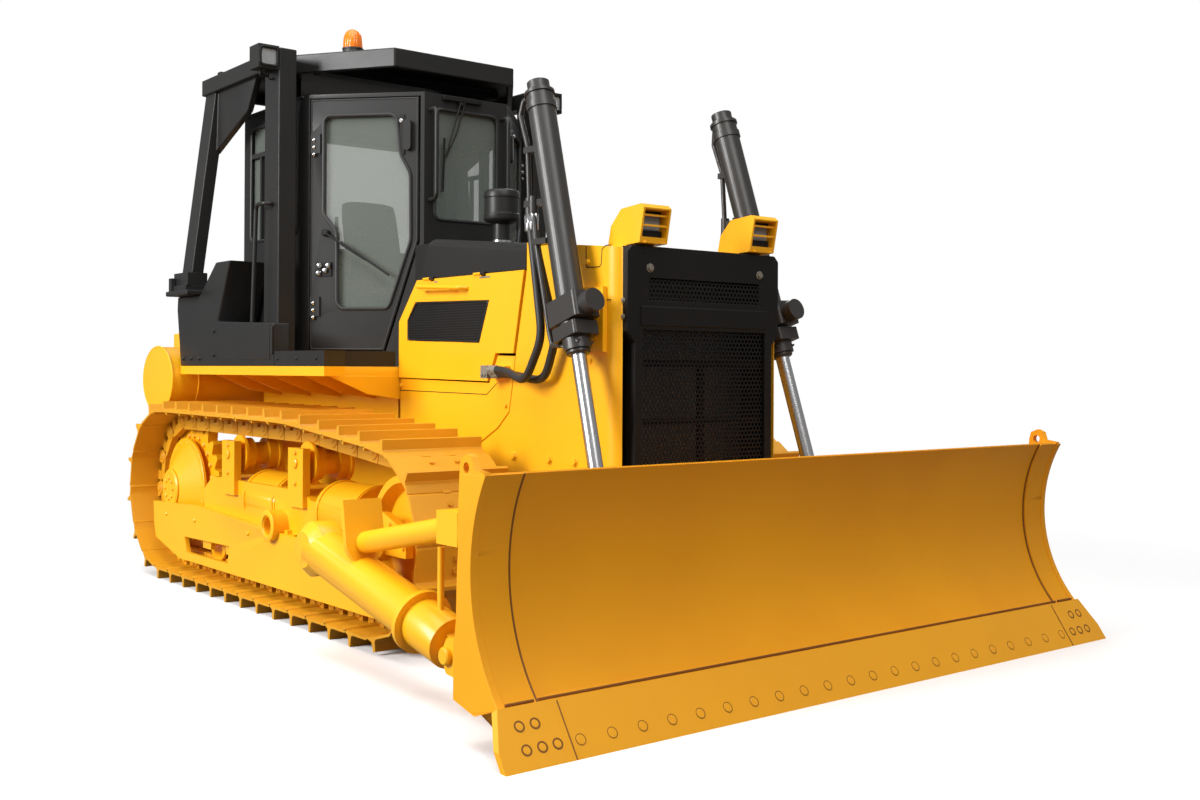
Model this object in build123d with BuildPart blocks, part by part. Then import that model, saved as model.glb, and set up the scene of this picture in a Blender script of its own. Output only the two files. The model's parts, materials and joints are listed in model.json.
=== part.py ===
from build123d import *
import os
from math import acos, atan2, cos, degrees, hypot, radians, sin

# A crawler bulldozer, in millimetres.  +X is forward, +Y is left, +Z is up, and the
# origin is on the ground under the middle of the whole machine.  Paired pieces are
# modelled on the left, where Y grows outwards, and mirrored to the right.

# ---------------------------------------------------------------- running gear
track_y = 940.0                 # half the track gauge
shoe_width = 510.0
shoe_count = 38
shoe_plate = 12.0
shoe_gap = 5.0                  # from a shoe's edge to its link's pin
grouser_height = 55.0
grouser_foot = 24.0
grouser_tip = 15.0
grouser_setback = 22.0
link_rise = 54.0                # pin line to the shoe's plate
link_drop = 53.0                # pin line to the rail
rail_width = 40.0
rail_offset = 65.0              # middle of a rail, from the middle of the track
sprocket_x = -1909.0
sprocket_pin_radius = 408.5
sprocket_teeth = 25
sprocket_width = 60.0
sprocket_bore = 240.0
idler_x = 741.0
idler_pin_radius = 362.0
carrier_x = (-1039.0, -189.0)
carrier_pin_z = 929.0
roller_x = (-1330.0, -998.0, -666.0, -334.0, -2.0, 330.0)
roller_tread_radius = 105.0
carrier_radius = 88.0
flange_height = 18.0
wheel_gap = 0.3                 # between a wheel and what it rolls in or on
seat_gap = 0.3                  # between a piece and what it is bolted to

pin_height = link_rise + shoe_plate + grouser_height
sprocket_z = pin_height + sprocket_pin_radius
idler_z = pin_height + idler_pin_radius
rail_top_z = pin_height + link_drop
roller_z = rail_top_z + roller_tread_radius + wheel_gap

# track frames
frame_y = (track_y - 140, track_y + 145)     # inboard and outboard faces
frame_z = (415.0, 640.0)
frame_x = (-1440.0, 400.0)
carrier_post_y = (track_y + 129, track_y + 169)
guard_y = (track_y + 170, track_y + 195)     # outer plate of the roller guard
guard_bottom_z = 138.0
yoke_thickness = 36.0
yoke_half = 124.0               # from the middle of the track to a yoke's inner face
trunnion_x = 640.0              # the blade's pivot on each track frame
trunnion_z = 467.0
trunnion_radius = 60.0
arm_y = track_y + 430           # middle of each push arm
trunnion_end_y = arm_y + 30
final_drive_radius = 300.0
final_drive_y = (480.0, track_y - 45, track_y + 65, track_y + 160)

# ---------------------------------------------------------------- body
hull_half = 480.0
bay_half = 455.0                # outer faces of the plates under the engine
belly_z = 400.0
deck_z = (1215.0, 1265.0)       # underside and top of the platform
deck_half = 1000.0
deck_rear_x = -2053.0
deck_corner_x = -100.0
deck_front_x = -250.0
deck_step_half = deck_half - 138    # inboard of this the platform stands clear of the engine doors
deck_front_half = 505.0
trim_top_z = 1345.0
trim_thickness = 40.0
case_x = (-2010.0, -285.0)      # the gear case under the cab
engine_side = 490.0             # outer face of the engine's sides
panel_thickness = 25.0
side_door_proud = 10.0
hinge_z = 1715.0                # the engine side doors hang from here
hinge_y = 503.0
hinge_x = (20.0, 500.0)         # rear ends of the hinges
hinge_radius = 7.0
hood_rear = (60.0, 1925.0)
nose_x = 1608.0
nose_top_z = 1776.0
nose_bottom_z = 450.0
nose_radius = 70.0
nose_wall = 32.0
mask_half = 455.0
mask_lower_half = 412.0
mask_step_z = 1400.0
mask_z = (560.0, 1786.0)
mask_x = (1560.0, 1628.0)
mask_rim = 45.0
mask_screen_top = 1425.0
mask_strip_z = (1560.0, 1648.0)
mask_strip_half = 330.0
lamp_y = 327.0
lamp_half = 78.0
lamp_x = (1430.0, 1675.0)
lamp_top_z = 1962.0

# ---------------------------------------------------------------- cab
cab_front_x = -375.0
cab_front_half = 272.0
cab_rear_x = -1715.0
cab_half = 740.0
cab_z = (1265.0, 2785.0)
cab_wall = 45.0
door_hinge = (-882.0, 724.0)    # rear end of the door's plane, in plan
door_rear = 20.0                # along the door's plane, from the cab's side corner
door_width = 645.0
door_z = (1357.0, 2757.0)
door_mid_z = 1964.0             # the front edge slants back below this
door_low_width = 452.0
door_gap = 6.0
door_front_gap = 12.0
glass = 8.0
glass_gap = 0.4

# ---------------------------------------------------------------- ROPS and roof
roof_z = (2925.0, 3032.0)
roof_rear_x = -2009.0
roof_corner_x = -1102.0
roof_front_x = -490.0
roof_front_half = 395.0
roof_rim = 36.0
beam_z = (2925.0, 3022.0)
beam_rear_x = -1985.0
post_x = (-1050.0, -860.0)
post_y = (deck_half - 200, deck_half - 95)
leg_foot = (-1950.0, deck_half - 20, 1720.0)
leg_head = (-1880.0, deck_half - 148)
leg_size = (160.0, 75.0)

# ---------------------------------------------------------------- tank and rear
tank_x = (-2570.0, -2062.0)
tank_z = (975.0, 1385.0)
tank_half = 1050.0
drawbar_x = -2240.0
drawbar_z = (430.0, 610.0)
drawbar_bore = 26.0

# ---------------------------------------------------------------- blade
blade_half = 1612.0
blade_top = (2349.0, 909.0)
blade_hollow = (2262.0, 640.0)
blade_foot = (2431.0, 165.0)
blade_plate = 20.0
side_plate = 28.0
strip_width = 130.0
strip_thickness = 12.0
edge_tip_x = 2570.0
edge_thickness = 26.0
edge_top = (2449.0, 175.0)
bit_half = 1694.0
bit_width = 275.0
edge_half = bit_half - bit_width
lug_hole = (2245.0, 928.0)
lug_bore = 18.0

arm_radius = 98.0
arm_front = (1814.0, 208.0)
brace_rear = (1045.0, 535.0)
brace_front = (1765.0, 668.0)
brace_radius = 46.0

# hoses and pipes
hose_block_x = (674.0, 800.0)
hose_block_z = (1212.0, 1270.0)
hose_radius = 19.0
pipe_radius = 12.0

# lift cylinders
cylinder_top = (1118.0, 563.0, 2540.0)
cylinder_low = (1646.0, 635.0, 850.0)
barrel_radius = 62.0
barrel_bore = 50.0
rod_radius = 33.0
piston_gap = 0.3
gland_z = 1335.0
cylinder_pivot_z = 1500.0
eye_z = 450.0
eye_radius = 62.0
eye_width = 66.0
ear_gap = 70.0                  # from the middle of the eye to an ear
ear_thickness = 30.0
collar_half = 70.0
bearing_radius = 68.0
pivot_radius = 34.0


def flank(y):
    """An upright fore-and-aft plane, drawn on as X and Z; material added runs inboard."""
    return Plane(origin=(0, y, 0), x_dir=(1, 0, 0), z_dir=(0, -1, 0))


def side_piece(y, thickness, corners, mode=Mode.ADD):
    """A plate with a side outline, from its outboard face at y, inboard by its thickness."""
    with BuildSketch(flank(y)) as outline:
        Polygon(*corners, align=None)
    extrude(outline.sketch, amount=thickness, mode=mode)


def plan_piece(z, height, corners, mode=Mode.ADD):
    """A slab with a plan outline, from z upwards."""
    with BuildSketch(Plane.XY.offset(z)) as outline:
        Polygon(*corners, align=None)
    extrude(outline.sketch, amount=height, mode=mode)


def cross_piece(x, length, corners, mode=Mode.ADD):
    """A piece with an outline in Y and Z, from x forwards."""
    with BuildSketch(Plane.YZ.offset(x)) as outline:
        Polygon(*corners, align=None)
    extrude(outline.sketch, amount=length, mode=mode)


def block(x, y, z, mode=Mode.ADD):
    """A rectangular block between three pairs of limits."""
    with Locations(((x[0] + x[1]) / 2, (y[0] + y[1]) / 2, (z[0] + z[1]) / 2)):
        Box(x[1] - x[0], y[1] - y[0], z[1] - z[0], mode=mode)


def disc(x, z, y, radius, mode=Mode.ADD):
    """A round piece lying across the machine, between two distances from the middle."""
    with Locations((x, (y[0] + y[1]) / 2, z)):
        Cylinder(radius, abs(y[1] - y[0]), rotation=(90, 0, 0), mode=mode)


def across(x0, x1, centre, radius, mode=Mode.ADD):
    """A round piece lying fore and aft, about a centre in Y and Z."""
    with Locations(((x0 + x1) / 2, centre[0], centre[1])):
        Cylinder(radius, x1 - x0, rotation=(0, 90, 0), mode=mode)


def both_sides(corners):
    """A half outline, given for +Y, closed by its mirror image."""
    return [*corners, *[(x, -y) for x, y in reversed(corners)]]


def touch(point, centre, radius, turn):
    """The angle at which a straight run from a point meets a wheel, in degrees."""
    dx, dz = point[0] - centre[0], point[1] - centre[1]
    return degrees(atan2(dz, dx) + turn * acos(radius / hypot(dx, dz)))


singles, pairs = {}, {}

# ================================================================ tracks
# The pin line, drawn flat as X and Z: ground run, idler, two upper runs, sprocket.
carrier_crest = (carrier_x[1], carrier_pin_z)
idler_angle = touch(carrier_crest, (idler_x, idler_z), idler_pin_radius, -1)
sprocket_angle = touch(carrier_crest, (sprocket_x, sprocket_z), sprocket_pin_radius, 1)
with BuildLine() as pin_line:
    Line((sprocket_x, pin_height), (idler_x, pin_height))
    front_wrap = CenterArc((idler_x, idler_z), idler_pin_radius, -90, 90 + idler_angle)
    Line(front_wrap @ 1, carrier_crest)
    rear_wrap = CenterArc(
        (sprocket_x, sprocket_z), sprocket_pin_radius, sprocket_angle, 270 - sprocket_angle)
    Line(carrier_crest, rear_wrap @ 0)
pin_wire = pin_line.wire()
link_pitch = pin_wire.length / shoe_count
pins = [pin_wire.position_at(i / shoe_count) for i in range(shoe_count)]
if pins[1].X < pins[0].X:
    pins.reverse()


def link_frame(i):
    """A link's rear pin, its direction of travel and its outward direction, in X and Z."""
    here, ahead = pins[i % shoe_count], pins[(i + 1) % shoe_count]
    along = (ahead - here).normalized()
    return here, along, Vector(along.Y, -along.X)


def rail_corner(i, rise):
    """The corner of the chain's edge at pin i, a given rise outside the pin line."""
    here, _, outward = link_frame(i)
    before = link_frame(i - 1)[2]
    corner = here + (outward + before) * (rise / (1 + outward.dot(before)))
    return corner.X, corner.Y


def shoe_outline(i):
    """One shoe seen from the side: a plate on the link, with its grouser near the rear."""
    here, along, outward = link_frame(i)
    plate_top = link_rise + shoe_plate
    lean = (grouser_foot - grouser_tip) / 2
    foot_end = grouser_setback + grouser_foot
    length = (pins[(i + 1) % shoe_count] - here).length
    corners = [
        (shoe_gap, link_rise), (length - shoe_gap, link_rise),
        (length - shoe_gap, plate_top), (foot_end, plate_top),
        (foot_end - lean, pin_height), (grouser_setback + lean, pin_height),
        (grouser_setback, plate_top), (shoe_gap, plate_top),
    ]
    places = [here + along * a + outward * b for a, b in corners]
    return [(p.X, p.Y) for p in places]


with BuildPart() as track:
    with BuildSketch(flank(track_y + shoe_width / 2)):
        for i in range(shoe_count):
            Polygon(*shoe_outline(i), align=None)
    extrude(amount=shoe_width)
    for rail_y in (track_y - rail_offset, track_y + rail_offset):
        with BuildSketch(flank(rail_y + rail_width / 2)):
            Polygon(*[rail_corner(i, link_rise) for i in range(shoe_count)], align=None)
            Polygon(*[rail_corner(i, -link_drop) for i in range(shoe_count)], align=None, mode=Mode.SUBTRACT)
        extrude(amount=rail_width)
pairs["track"] = track

# ================================================================ wheels
rail_reach = rail_offset + rail_width / 2


def rail_wheel(x, z, tread, flange, waist):
    """A wheel under both rails: two treads, outer flanges and a slimmer middle."""
    for side in (-1, 1):
        inner = track_y + side * (rail_offset - rail_width / 2 - 6)
        outer = track_y + side * (rail_reach + 4)
        disc(x, z, (inner, outer), tread)
        disc(x, z, (outer, outer + side * 16), flange)
    disc(x, z, (track_y - rail_offset, track_y + rail_offset), waist)


# The rails' flats pass nearer to the idler's axis than its pins do.
idler_tread = (idler_pin_radius**2 - (link_pitch / 2) ** 2) ** 0.5 - link_drop - 1.5
with BuildPart() as idler:
    rim_half = rail_reach
    hub_half = yoke_half - seat_gap
    with BuildSketch(Plane((0, 0, 0), x_dir=(0, 1, 0), z_dir=(1, 0, 0))) as idler_half:
        Polygon(
            (-hub_half, 0), (hub_half, 0), (hub_half, 75), (40, 90), (26, idler_tread - 60),
            (rim_half, idler_tread - 34), (rim_half, idler_tread), (42, idler_tread),
            (36, idler_tread + flange_height), (-36, idler_tread + flange_height),
            (-42, idler_tread), (-rim_half, idler_tread), (-rim_half, idler_tread - 34),
            (-26, idler_tread - 60), (-40, 90), (-hub_half, 75), align=None)
    wheel = revolve(idler_half.sketch, axis=Axis.Y, mode=Mode.PRIVATE)
    add(wheel.moved(Location((idler_x, track_y, idler_z))))
    mirror(about=Plane.XZ)
singles["idlers"] = idler

with BuildPart() as track_rollers:
    for x in roller_x:
        rail_wheel(x, roller_z, roller_tread_radius, roller_tread_radius + flange_height, 80)
        disc(x, roller_z, (frame_y[0], frame_y[1]), 34)
    mirror(about=Plane.XZ)
singles["track_rollers"] = track_rollers

carrier_z = carrier_pin_z - link_drop - carrier_radius - 8
with BuildPart() as carrier_rollers:
    for x in carrier_x:
        rail_wheel(x, carrier_z, carrier_radius, carrier_radius + flange_height, 62)
        disc(x, carrier_z, (track_y - 110, carrier_post_y[1]), 30)
    mirror(about=Plane.XZ)
singles["carrier_rollers"] = carrier_rollers

with BuildPart() as sprocket:
    tooth_tip = sprocket_pin_radius + 8
    tooth_root = sprocket_pin_radius - 48
    with BuildSketch(flank(track_y + sprocket_width / 2)):
        with Locations((sprocket_x, sprocket_z)):
            Circle(tooth_root)
            with PolarLocations(tooth_root - 2, sprocket_teeth):
                Polygon(
                    (0, -38), (tooth_tip - tooth_root, -14), (tooth_tip - tooth_root, 14), (0, 38),
                    align=None)
            Circle(sprocket_bore, mode=Mode.SUBTRACT)
    extrude(amount=sprocket_width)
    mirror(about=Plane.XZ)
singles["sprockets"] = sprocket

with BuildPart() as final_drive:
    disc(sprocket_x, sprocket_z, (final_drive_y[0], final_drive_y[1]), final_drive_radius - 50)
    disc(sprocket_x, sprocket_z, (final_drive_y[1], final_drive_y[2]), sprocket_bore - wheel_gap)
    with Locations((sprocket_x, (final_drive_y[2] + final_drive_y[3]) / 2, sprocket_z)):
        Cone(final_drive_radius, 120, final_drive_y[3] - final_drive_y[2], rotation=(-90, 0, 0))
    mirror(about=Plane.XZ)
singles["final_drives"] = final_drive

# ================================================================ track frames
with BuildPart() as track_frame:
    side_piece(frame_y[1], frame_y[1] - frame_y[0], [
        (frame_x[0], frame_z[0]), (frame_x[1], frame_z[0]), (frame_x[1], 590), (-60, frame_z[1] - 40),
        (-150, frame_z[1]), (frame_x[0] + 120, frame_z[1]), (frame_x[0], 560)])
    # rounded covers over the recoil spring
    for x0, x1 in ((-900, -480), (-20, 380)):
        with BuildSketch(Plane.YZ.offset(x0)):
            with Locations((track_y, frame_z[1] - 95)):
                Circle(150)
        extrude(amount=x1 - x0)
    # posts that clamp the carrier rollers' shafts
    for x in carrier_x:
        block((x - 85, x + 85), carrier_post_y, (frame_z[1] - 80, carrier_z + 75))
        disc(x, carrier_z, carrier_post_y, 30 + wheel_gap, mode=Mode.SUBTRACT)
    # outer guard, standing off the frame at the rear, where it passes the final drive
    side_piece(guard_y[1], guard_y[1] - guard_y[0], [
        (-2110, 300), (-2080, 225), (-1690, guard_bottom_z), (880, guard_bottom_z), (955, 200),
        (945, 330), (560, 385), (frame_x[0], 465), (-2125, 440)])
    side_piece(
        guard_y[1] + 1, guard_y[1] - guard_y[0] + 2,
        [(-1610, 272), (-950, 285), (-975, 188), (-1570, 184)], mode=Mode.SUBTRACT)
    side_piece(guard_y[0], guard_y[0] - frame_y[1], [
        (frame_x[0], frame_z[0]), (-220, frame_z[0]), (frame_x[0], 462)])
    for x in roller_x:
        for y in ((frame_y[0] - 22, frame_y[0]), (frame_y[1], guard_y[0])):
            block((x - 60, x + 60), y, (roller_z - 50, frame_z[0] + 20))
    side_piece(frame_y[0], 22, [
        (-1640, 235), (-1600, guard_bottom_z + 40), (400, guard_bottom_z + 40), (430, frame_z[0]),
        (400, frame_z[0] + 50), (frame_x[0], frame_z[0] + 50)])
    # idler yokes and the trunnion for the blade's arm
    for outer in (track_y + yoke_half + yoke_thickness, track_y - yoke_half):
        side_piece(outer, yoke_thickness, [
            (frame_x[1] - 60, 425), (900, 425), (900, 540), (700, 610), (frame_x[1] - 60, 600)])
    disc(trunnion_x, trunnion_z, (frame_y[1] - 21, trunnion_end_y - 170), trunnion_radius + 22)
    disc(trunnion_x, trunnion_z, (frame_y[1] - 21, trunnion_end_y), trunnion_radius)
    # boss with an open bore, and the cross tubes that carry the hull
    disc(-391, 452, (frame_y[1], guard_y[1] + 28), 78)
    disc(-391, 452, (frame_y[1], guard_y[1] + 28), 48, mode=Mode.SUBTRACT)
    disc(-1330, 520, (hull_half, frame_y[0]), 85)
    block((20, 180), (hull_half, frame_y[0]), (470, 600))
pairs["track_frame"] = track_frame

# ================================================================ hull and engine bay
with BuildPart() as hull:
    side_piece(hull_half, 2 * hull_half, [
        (case_x[0], 620), (case_x[0] + 160, belly_z), (case_x[1], belly_z), (case_x[1], deck_z[0]),
        (case_x[0], deck_z[0])])
    for outer in (bay_half, 55 - bay_half):
        side_piece(outer, 55, [
            (case_x[1], belly_z), (1250, belly_z), (1420, 520), (1420, 700), (900, 900), (case_x[1], 900)])
    side_piece(hull_half - 80, 2 * hull_half - 160, [
        (case_x[1], belly_z), (1250, belly_z), (1420, 520), (1420, 560), (1240, belly_z + 30),
        (case_x[1], belly_z + 30)])
singles["hull"] = hull

with BuildPart() as engine:
    block((0, 880), (-300, 300), (belly_z + 30 + seat_gap, 1500))
    fillet(engine.edges().filter_by(Axis.X), 40)
singles["engine"] = engine

with BuildPart() as radiator:
    block((1300, 1450), (-400, 400), (570, 1690))
singles["radiator"] = radiator


def top_z(x, rear=hood_rear, front=(nose_x, nose_top_z)):
    """Height of the sloping hood line at x."""
    return rear[1] + (x - rear[0]) * (front[1] - rear[1]) / (front[0] - rear[0])


# The nose: sides with rounded front corners, a top and an open front for the mask.
seam = [(932, 1712), (845, 1321), (822, 1180), (795, 1050), (700, 970), (540, 890)]
seam_gap = 5.0
with BuildPart() as nose:
    with BuildSketch(Plane.XY.offset(nose_bottom_z)):
        with Locations(((500 + nose_x) / 2, 0)):
            Rectangle(nose_x - 500, 2 * engine_side)
    extrude(amount=1500)
    fillet(nose.edges().filter_by(Axis.Z).group_by(Axis.X)[-1], nose_radius)
    block(
        (400, nose_x - nose_wall), (-engine_side + nose_wall, engine_side - nose_wall), (0, 2200),
        mode=Mode.SUBTRACT)
    # cut to the seam at the rear, to the hood line on top and to a rising foot
    side_piece(600, 1200, [
        (300, 300), (540, 300), *reversed(seam), (932, 2300), (300, 2300)], mode=Mode.SUBTRACT)
    side_piece(600, 1200, [
        (300, top_z(300)), (nose_x + 50, top_z(nose_x + 50)), (nose_x + 50, 2300), (300, 2300)],
               mode=Mode.SUBTRACT)
    side_piece(600, 1200, [(400, 300), (540, 700), (1150, nose_bottom_z), (1200, 300)], mode=Mode.SUBTRACT)
    side_piece(engine_side - nose_wall, 2 * (engine_side - nose_wall), [
        (932, top_z(932) - 25), (nose_x - nose_wall, top_z(nose_x - nose_wall) - 25),
        (nose_x - nose_wall, top_z(nose_x - nose_wall)), (932, top_z(932))])
    block((mask_x[0] - seat_gap, nose_x + 10), (-mask_half - seat_gap, mask_half + seat_gap),
          (mask_z[0] - seat_gap, mask_z[1] + seat_gap), mode=Mode.SUBTRACT)
    # pads that seat the nose on the plates under the engine
    for side in (-1, 1):
        inner, outer = side * (bay_half + seat_gap), side * (engine_side - nose_wall + 1)
        block((1100, 1200), sorted((inner, outer)), (560, 640))
singles["nose"] = nose

with BuildPart() as mask:
    depth = mask_x[1] - mask_x[0]
    cross_piece(mask_x[0], depth, [
        (mask_lower_half, mask_z[0]), (mask_lower_half, mask_step_z - 30), (mask_half, mask_step_z + 20),
        (mask_half, mask_z[1]), (-mask_half, mask_z[1]), (-mask_half, mask_step_z + 20),
        (-mask_lower_half, mask_step_z - 30), (-mask_lower_half, mask_z[0])])
    # the perforated screen and strip lie back from the face
    inner = mask_lower_half - mask_rim
    block(
        (mask_x[1] - 16, mask_x[1] + 1), (-inner, inner), (mask_z[0] + mask_rim, mask_screen_top),
        mode=Mode.SUBTRACT)
    block(
        (mask_x[1] - 10, mask_x[1] + 1), (-mask_strip_half, mask_strip_half), mask_strip_z,
        mode=Mode.SUBTRACT)
    block((mask_x[0] - 1, mask_x[1] - 20), (-mask_lower_half + 20, mask_lower_half - 20),
          (mask_z[0] + 20, mask_z[1] - 30), mode=Mode.SUBTRACT)
    # rails behind the screen
    for z in (830, 1115):
        block((mask_x[1] - 50, mask_x[1] - 19), (-inner, inner), (z, z + 40))
    block((mask_x[1] - 50, mask_x[1] - 19), (-30, 30), (mask_z[0] + 10, mask_screen_top))
singles["mask"] = mask

with BuildPart() as side_panel:
    side_piece(engine_side, panel_thickness, [
        (-240, 730), (540 - seam_gap, 730), *[(x - seam_gap, z + seam_gap) for x, z in reversed(seam[2:])],
        (840, 1316), (693, 1320), (620, 1188), (-240, 1202)])
    block(hose_block_x, (engine_side - 1, engine_side + 34), hose_block_z)
    # pads that seat the panel on the hull's side plates
    for x in (0, 420):
        block((x, x + 60), (bay_half + seat_gap, engine_side - panel_thickness + 1), (760, 820))
    mirror(about=Plane.XZ)
singles["side_panels"] = side_panel

door_outline = [
    (-54, hinge_z), (923, hinge_z), (838, 1329), (688, 1331), (618, 1196), (-240, 1208), (-240, 1503)]
with BuildPart() as engine_door:
    side_piece(engine_side + side_door_proud, panel_thickness, door_outline)
    side_piece(
        engine_side + side_door_proud, 6,
        [(-70, 1603), (632, 1587), (546, 1381), (-151, 1401), (-152, 1511)],
               mode=Mode.SUBTRACT)
    # grab handle
    block((40, 60), (engine_side + 10, engine_side + 45), (1655, 1672))
    block((330, 350), (engine_side + 10, engine_side + 45), (1645, 1662))
    side_piece(engine_side + 55, 16, [(40, 1655), (350, 1645), (350, 1662), (40, 1672)])
    # knuckles on the hinge line, with room for the hood's beside them
    for x in hinge_x:
        across(x, x + 60, (hinge_y, hinge_z + 2), hinge_radius)
        block((x + 60, x + 102), (400, 600), (hinge_z - 12, hinge_z + 1), mode=Mode.SUBTRACT)
pairs["engine_door"] = engine_door

# The hood: an inverted trough with rounded upper edges, and its neck to the cab.
with BuildPart() as hood:
    with BuildSketch(Plane.YZ.offset(-120)) as hood_section:
        with Locations((0, hinge_z + 4)):
            Rectangle(2 * engine_side, 230, align=(Align.CENTER, Align.MIN))
    extrude(amount=1045)
    side_piece(600, 1200, [
        (-200, top_z(-200)), (1000, top_z(1000)), (1000, 2300), (-200, 2300)], mode=Mode.SUBTRACT)
    fillet(hood.edges().filter_by(lambda e: abs(e.tangent_at(0.5).X) > 0.9).group_by(Axis.Z)[-1], 45)
    block((-200, 1000), (-engine_side + panel_thickness, engine_side - panel_thickness),
          (hinge_z - 1, 1826), mode=Mode.SUBTRACT)
    side_piece(600, 1200, [
        (-200, hinge_z - 10), (-54, hinge_z - 10), hood_rear, (hood_rear[0], 2300), (-200, 2300)],
               mode=Mode.SUBTRACT)
    # the hinge knuckles, and a lip under the nose's top
    for side in (-1, 1):
        for x in hinge_x:
            across(x + 60 + seat_gap, x + 100, (side * hinge_y, hinge_z + 2), hinge_radius)
            block((x + 60 + seat_gap, x + 100), sorted((side * (engine_side - 4), side * (hinge_y + 1))),
                  (hinge_z + 4, hinge_z + 9))
    side_piece(400, 800, [
        (880, top_z(880) - 50), (970, top_z(970) - 50), (970, top_z(970) - 25 - seat_gap),
        (924, top_z(924) - 25 - seat_gap), (924, top_z(924) - 5), (880, top_z(880) - 5)])
singles["hood"] = hood

with BuildPart() as cowl:
    plan_piece(deck_z[1], 1918 - deck_z[1], both_sides([
        (cab_front_x + 0.3, cab_front_half - 4), (-245, 400), (52, 400)]))
    side_piece(600, 1200, [
        (-75, 1200), (-75, 1690), (52, 1918), (100, 1918), (100, 1200)], mode=Mode.SUBTRACT)
singles["cowl"] = cowl

with BuildPart() as pre_cleaner:
    with Locations((-15, 0, 1918)):
        Cylinder(48, 140, align=(Align.CENTER, Align.CENTER, Align.MIN))
    with Locations((-15, 0, 2055)):
        Cylinder(98, 175, align=(Align.CENTER, Align.CENTER, Align.MIN))
singles["pre_cleaner"] = pre_cleaner

with BuildPart() as lamp_hood:
    side_piece(lamp_y + lamp_half, 2 * lamp_half, [
        (lamp_x[0], top_z(lamp_x[0]) + seat_gap), (mask_x[0] - 5, top_z(mask_x[0] - 5) + seat_gap),
        (mask_x[0] - 2, 1792),
        (lamp_x[1] - 30, 1797), (lamp_x[1], 1945), (lamp_x[1] - 20, lamp_top_z),
        (lamp_x[0] + 90, lamp_top_z - 12),
        (lamp_x[0] + 20, 1880)])
    side_piece(lamp_y + lamp_half - 10, 2 * lamp_half - 20, [
        (nose_x - 40, 1822), (lamp_x[1] + 5, 1822), (lamp_x[1] + 5, lamp_top_z - 22),
        (nose_x - 60, lamp_top_z - 30)],
        mode=Mode.SUBTRACT)
    for z in (1868, 1912):
        block((lamp_x[1] - 34, lamp_x[1] - 22), (lamp_y - lamp_half + 5, lamp_y + lamp_half - 5), (z, z + 8))
    mirror(about=Plane.XZ)
singles["headlamp_hoods"] = lamp_hood

with BuildPart() as headlamp:
    block(
        (nose_x - 30, lamp_x[1] - 45), (lamp_y - lamp_half + 16, lamp_y + lamp_half - 16),
        (1822 + seat_gap, 1930))
    mirror(about=Plane.XZ)
singles["headlamps"] = headlamp

# ================================================================ platform and fenders
with BuildPart() as platform:
    plan_piece(deck_z[0], deck_z[1] - deck_z[0], both_sides([
        (deck_rear_x, deck_half), (deck_corner_x, deck_half), (deck_corner_x - 45, deck_step_half),
        (deck_front_x, deck_step_half), (deck_front_x, deck_front_half)]))
    for side in (-1, 1):
        for x in (-1750, -1350, -950, -550, -262):
            cross_piece(x, 16, [
                (side * hull_half, 1090), (side * (hull_half + 200), 1120),
                (side * (hull_half + 420), deck_z[0]), (side * hull_half, deck_z[0])])
singles["platform"] = platform

with BuildPart() as platform_trim:
    plan_piece(deck_z[1], trim_top_z - deck_z[1], [
        (-690, deck_half), (deck_corner_x, deck_half), (deck_corner_x - 45, deck_step_half),
        (deck_front_x, deck_step_half), (deck_front_x, deck_front_half + 10),
        (deck_front_x - trim_thickness, deck_front_half + 10),
        (deck_front_x - trim_thickness, deck_step_half + trim_thickness),
        (deck_corner_x - 70, deck_step_half + trim_thickness),
        (deck_corner_x - 55, deck_half - trim_thickness),
        (-690, deck_half - trim_thickness)])
    mirror(about=Plane.XZ)
singles["platform_trim"] = platform_trim

box_outline = [(-1478, deck_z[1]), (-705, deck_z[1]), (-705, 1497), (-1478, 1525)]
hump_outline = [
    (deck_rear_x, deck_z[1]), (-1478, deck_z[1]), (-1478, 1525), (-1300, 1870), (-1507, 1870),
    (-1745, leg_foot[2] - 30), (-2110, leg_foot[2] - 30), (-2118, 1611)]
with BuildPart() as fender_box:
    side_piece(deck_half, 95, box_outline)
    side_piece(deck_half, deck_half - cab_half - 20, hump_outline)
    block((-1300, -1120), (770, 900), (deck_z[1], 1500))
    mirror(about=Plane.XZ)
singles["fender_boxes"] = fender_box

# ================================================================ cab
cab_corners = [
    (cab_front_x, cab_front_half), door_hinge, (door_hinge[0] - 30, cab_half), (cab_rear_x, cab_half)]
door_run = Vector(cab_front_x - door_hinge[0], cab_front_half - door_hinge[1]).normalized()
door_normal = Vector(-door_run.Y, door_run.X)


def door_plane(proud=0.0):
    """The left door's plane, drawn on as forward and up; material added runs inboard."""
    base = Vector(door_hinge[0], door_hinge[1]) + door_normal * proud
    return Plane(origin=(base.X, base.Y, 0), x_dir=(door_run.X, door_run.Y, 0), z_dir=-door_normal)


def door_edge(gap, front_gap):
    """The door's outline, grown by a gap."""
    return [
        (door_rear - gap, door_z[0] - gap), (door_low_width + front_gap, door_z[0] - gap),
        (door_width + front_gap, door_mid_z - gap / 2), (door_width + front_gap, door_z[1] + gap),
        (door_rear - gap, door_z[1] + gap)]


door_window = [
    (96, 2640), (119, 2664), (494, 2664), (523, 2635), (542, 2442), (600, 2335), (604, 1965), (485, 1610),
    (464, 1587), (204, 1587), (177, 1615), (174, 2014), (96, 2115)]
side_windows = (((-1610, -1330), (2010, 2690)), ((-1290, -975), (2010, 2690)))
front_window = ((-205, 205), (2085, 2700))
rear_window = ((-600, 600), (2010, 2690))
pane_depth = cab_wall / 2 + glass / 2


def rounded_window(plane, x, z, radius, inset=0.0):
    """A pane's outline on a wall's plane, with rounded corners."""
    with BuildSketch(plane) as pane:
        with Locations(((x[0] + x[1]) / 2, (z[0] + z[1]) / 2)):
            RectangleRounded(x[1] - x[0] - 2 * inset, z[1] - z[0] - 2 * inset, radius)
    return pane.sketch


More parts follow.
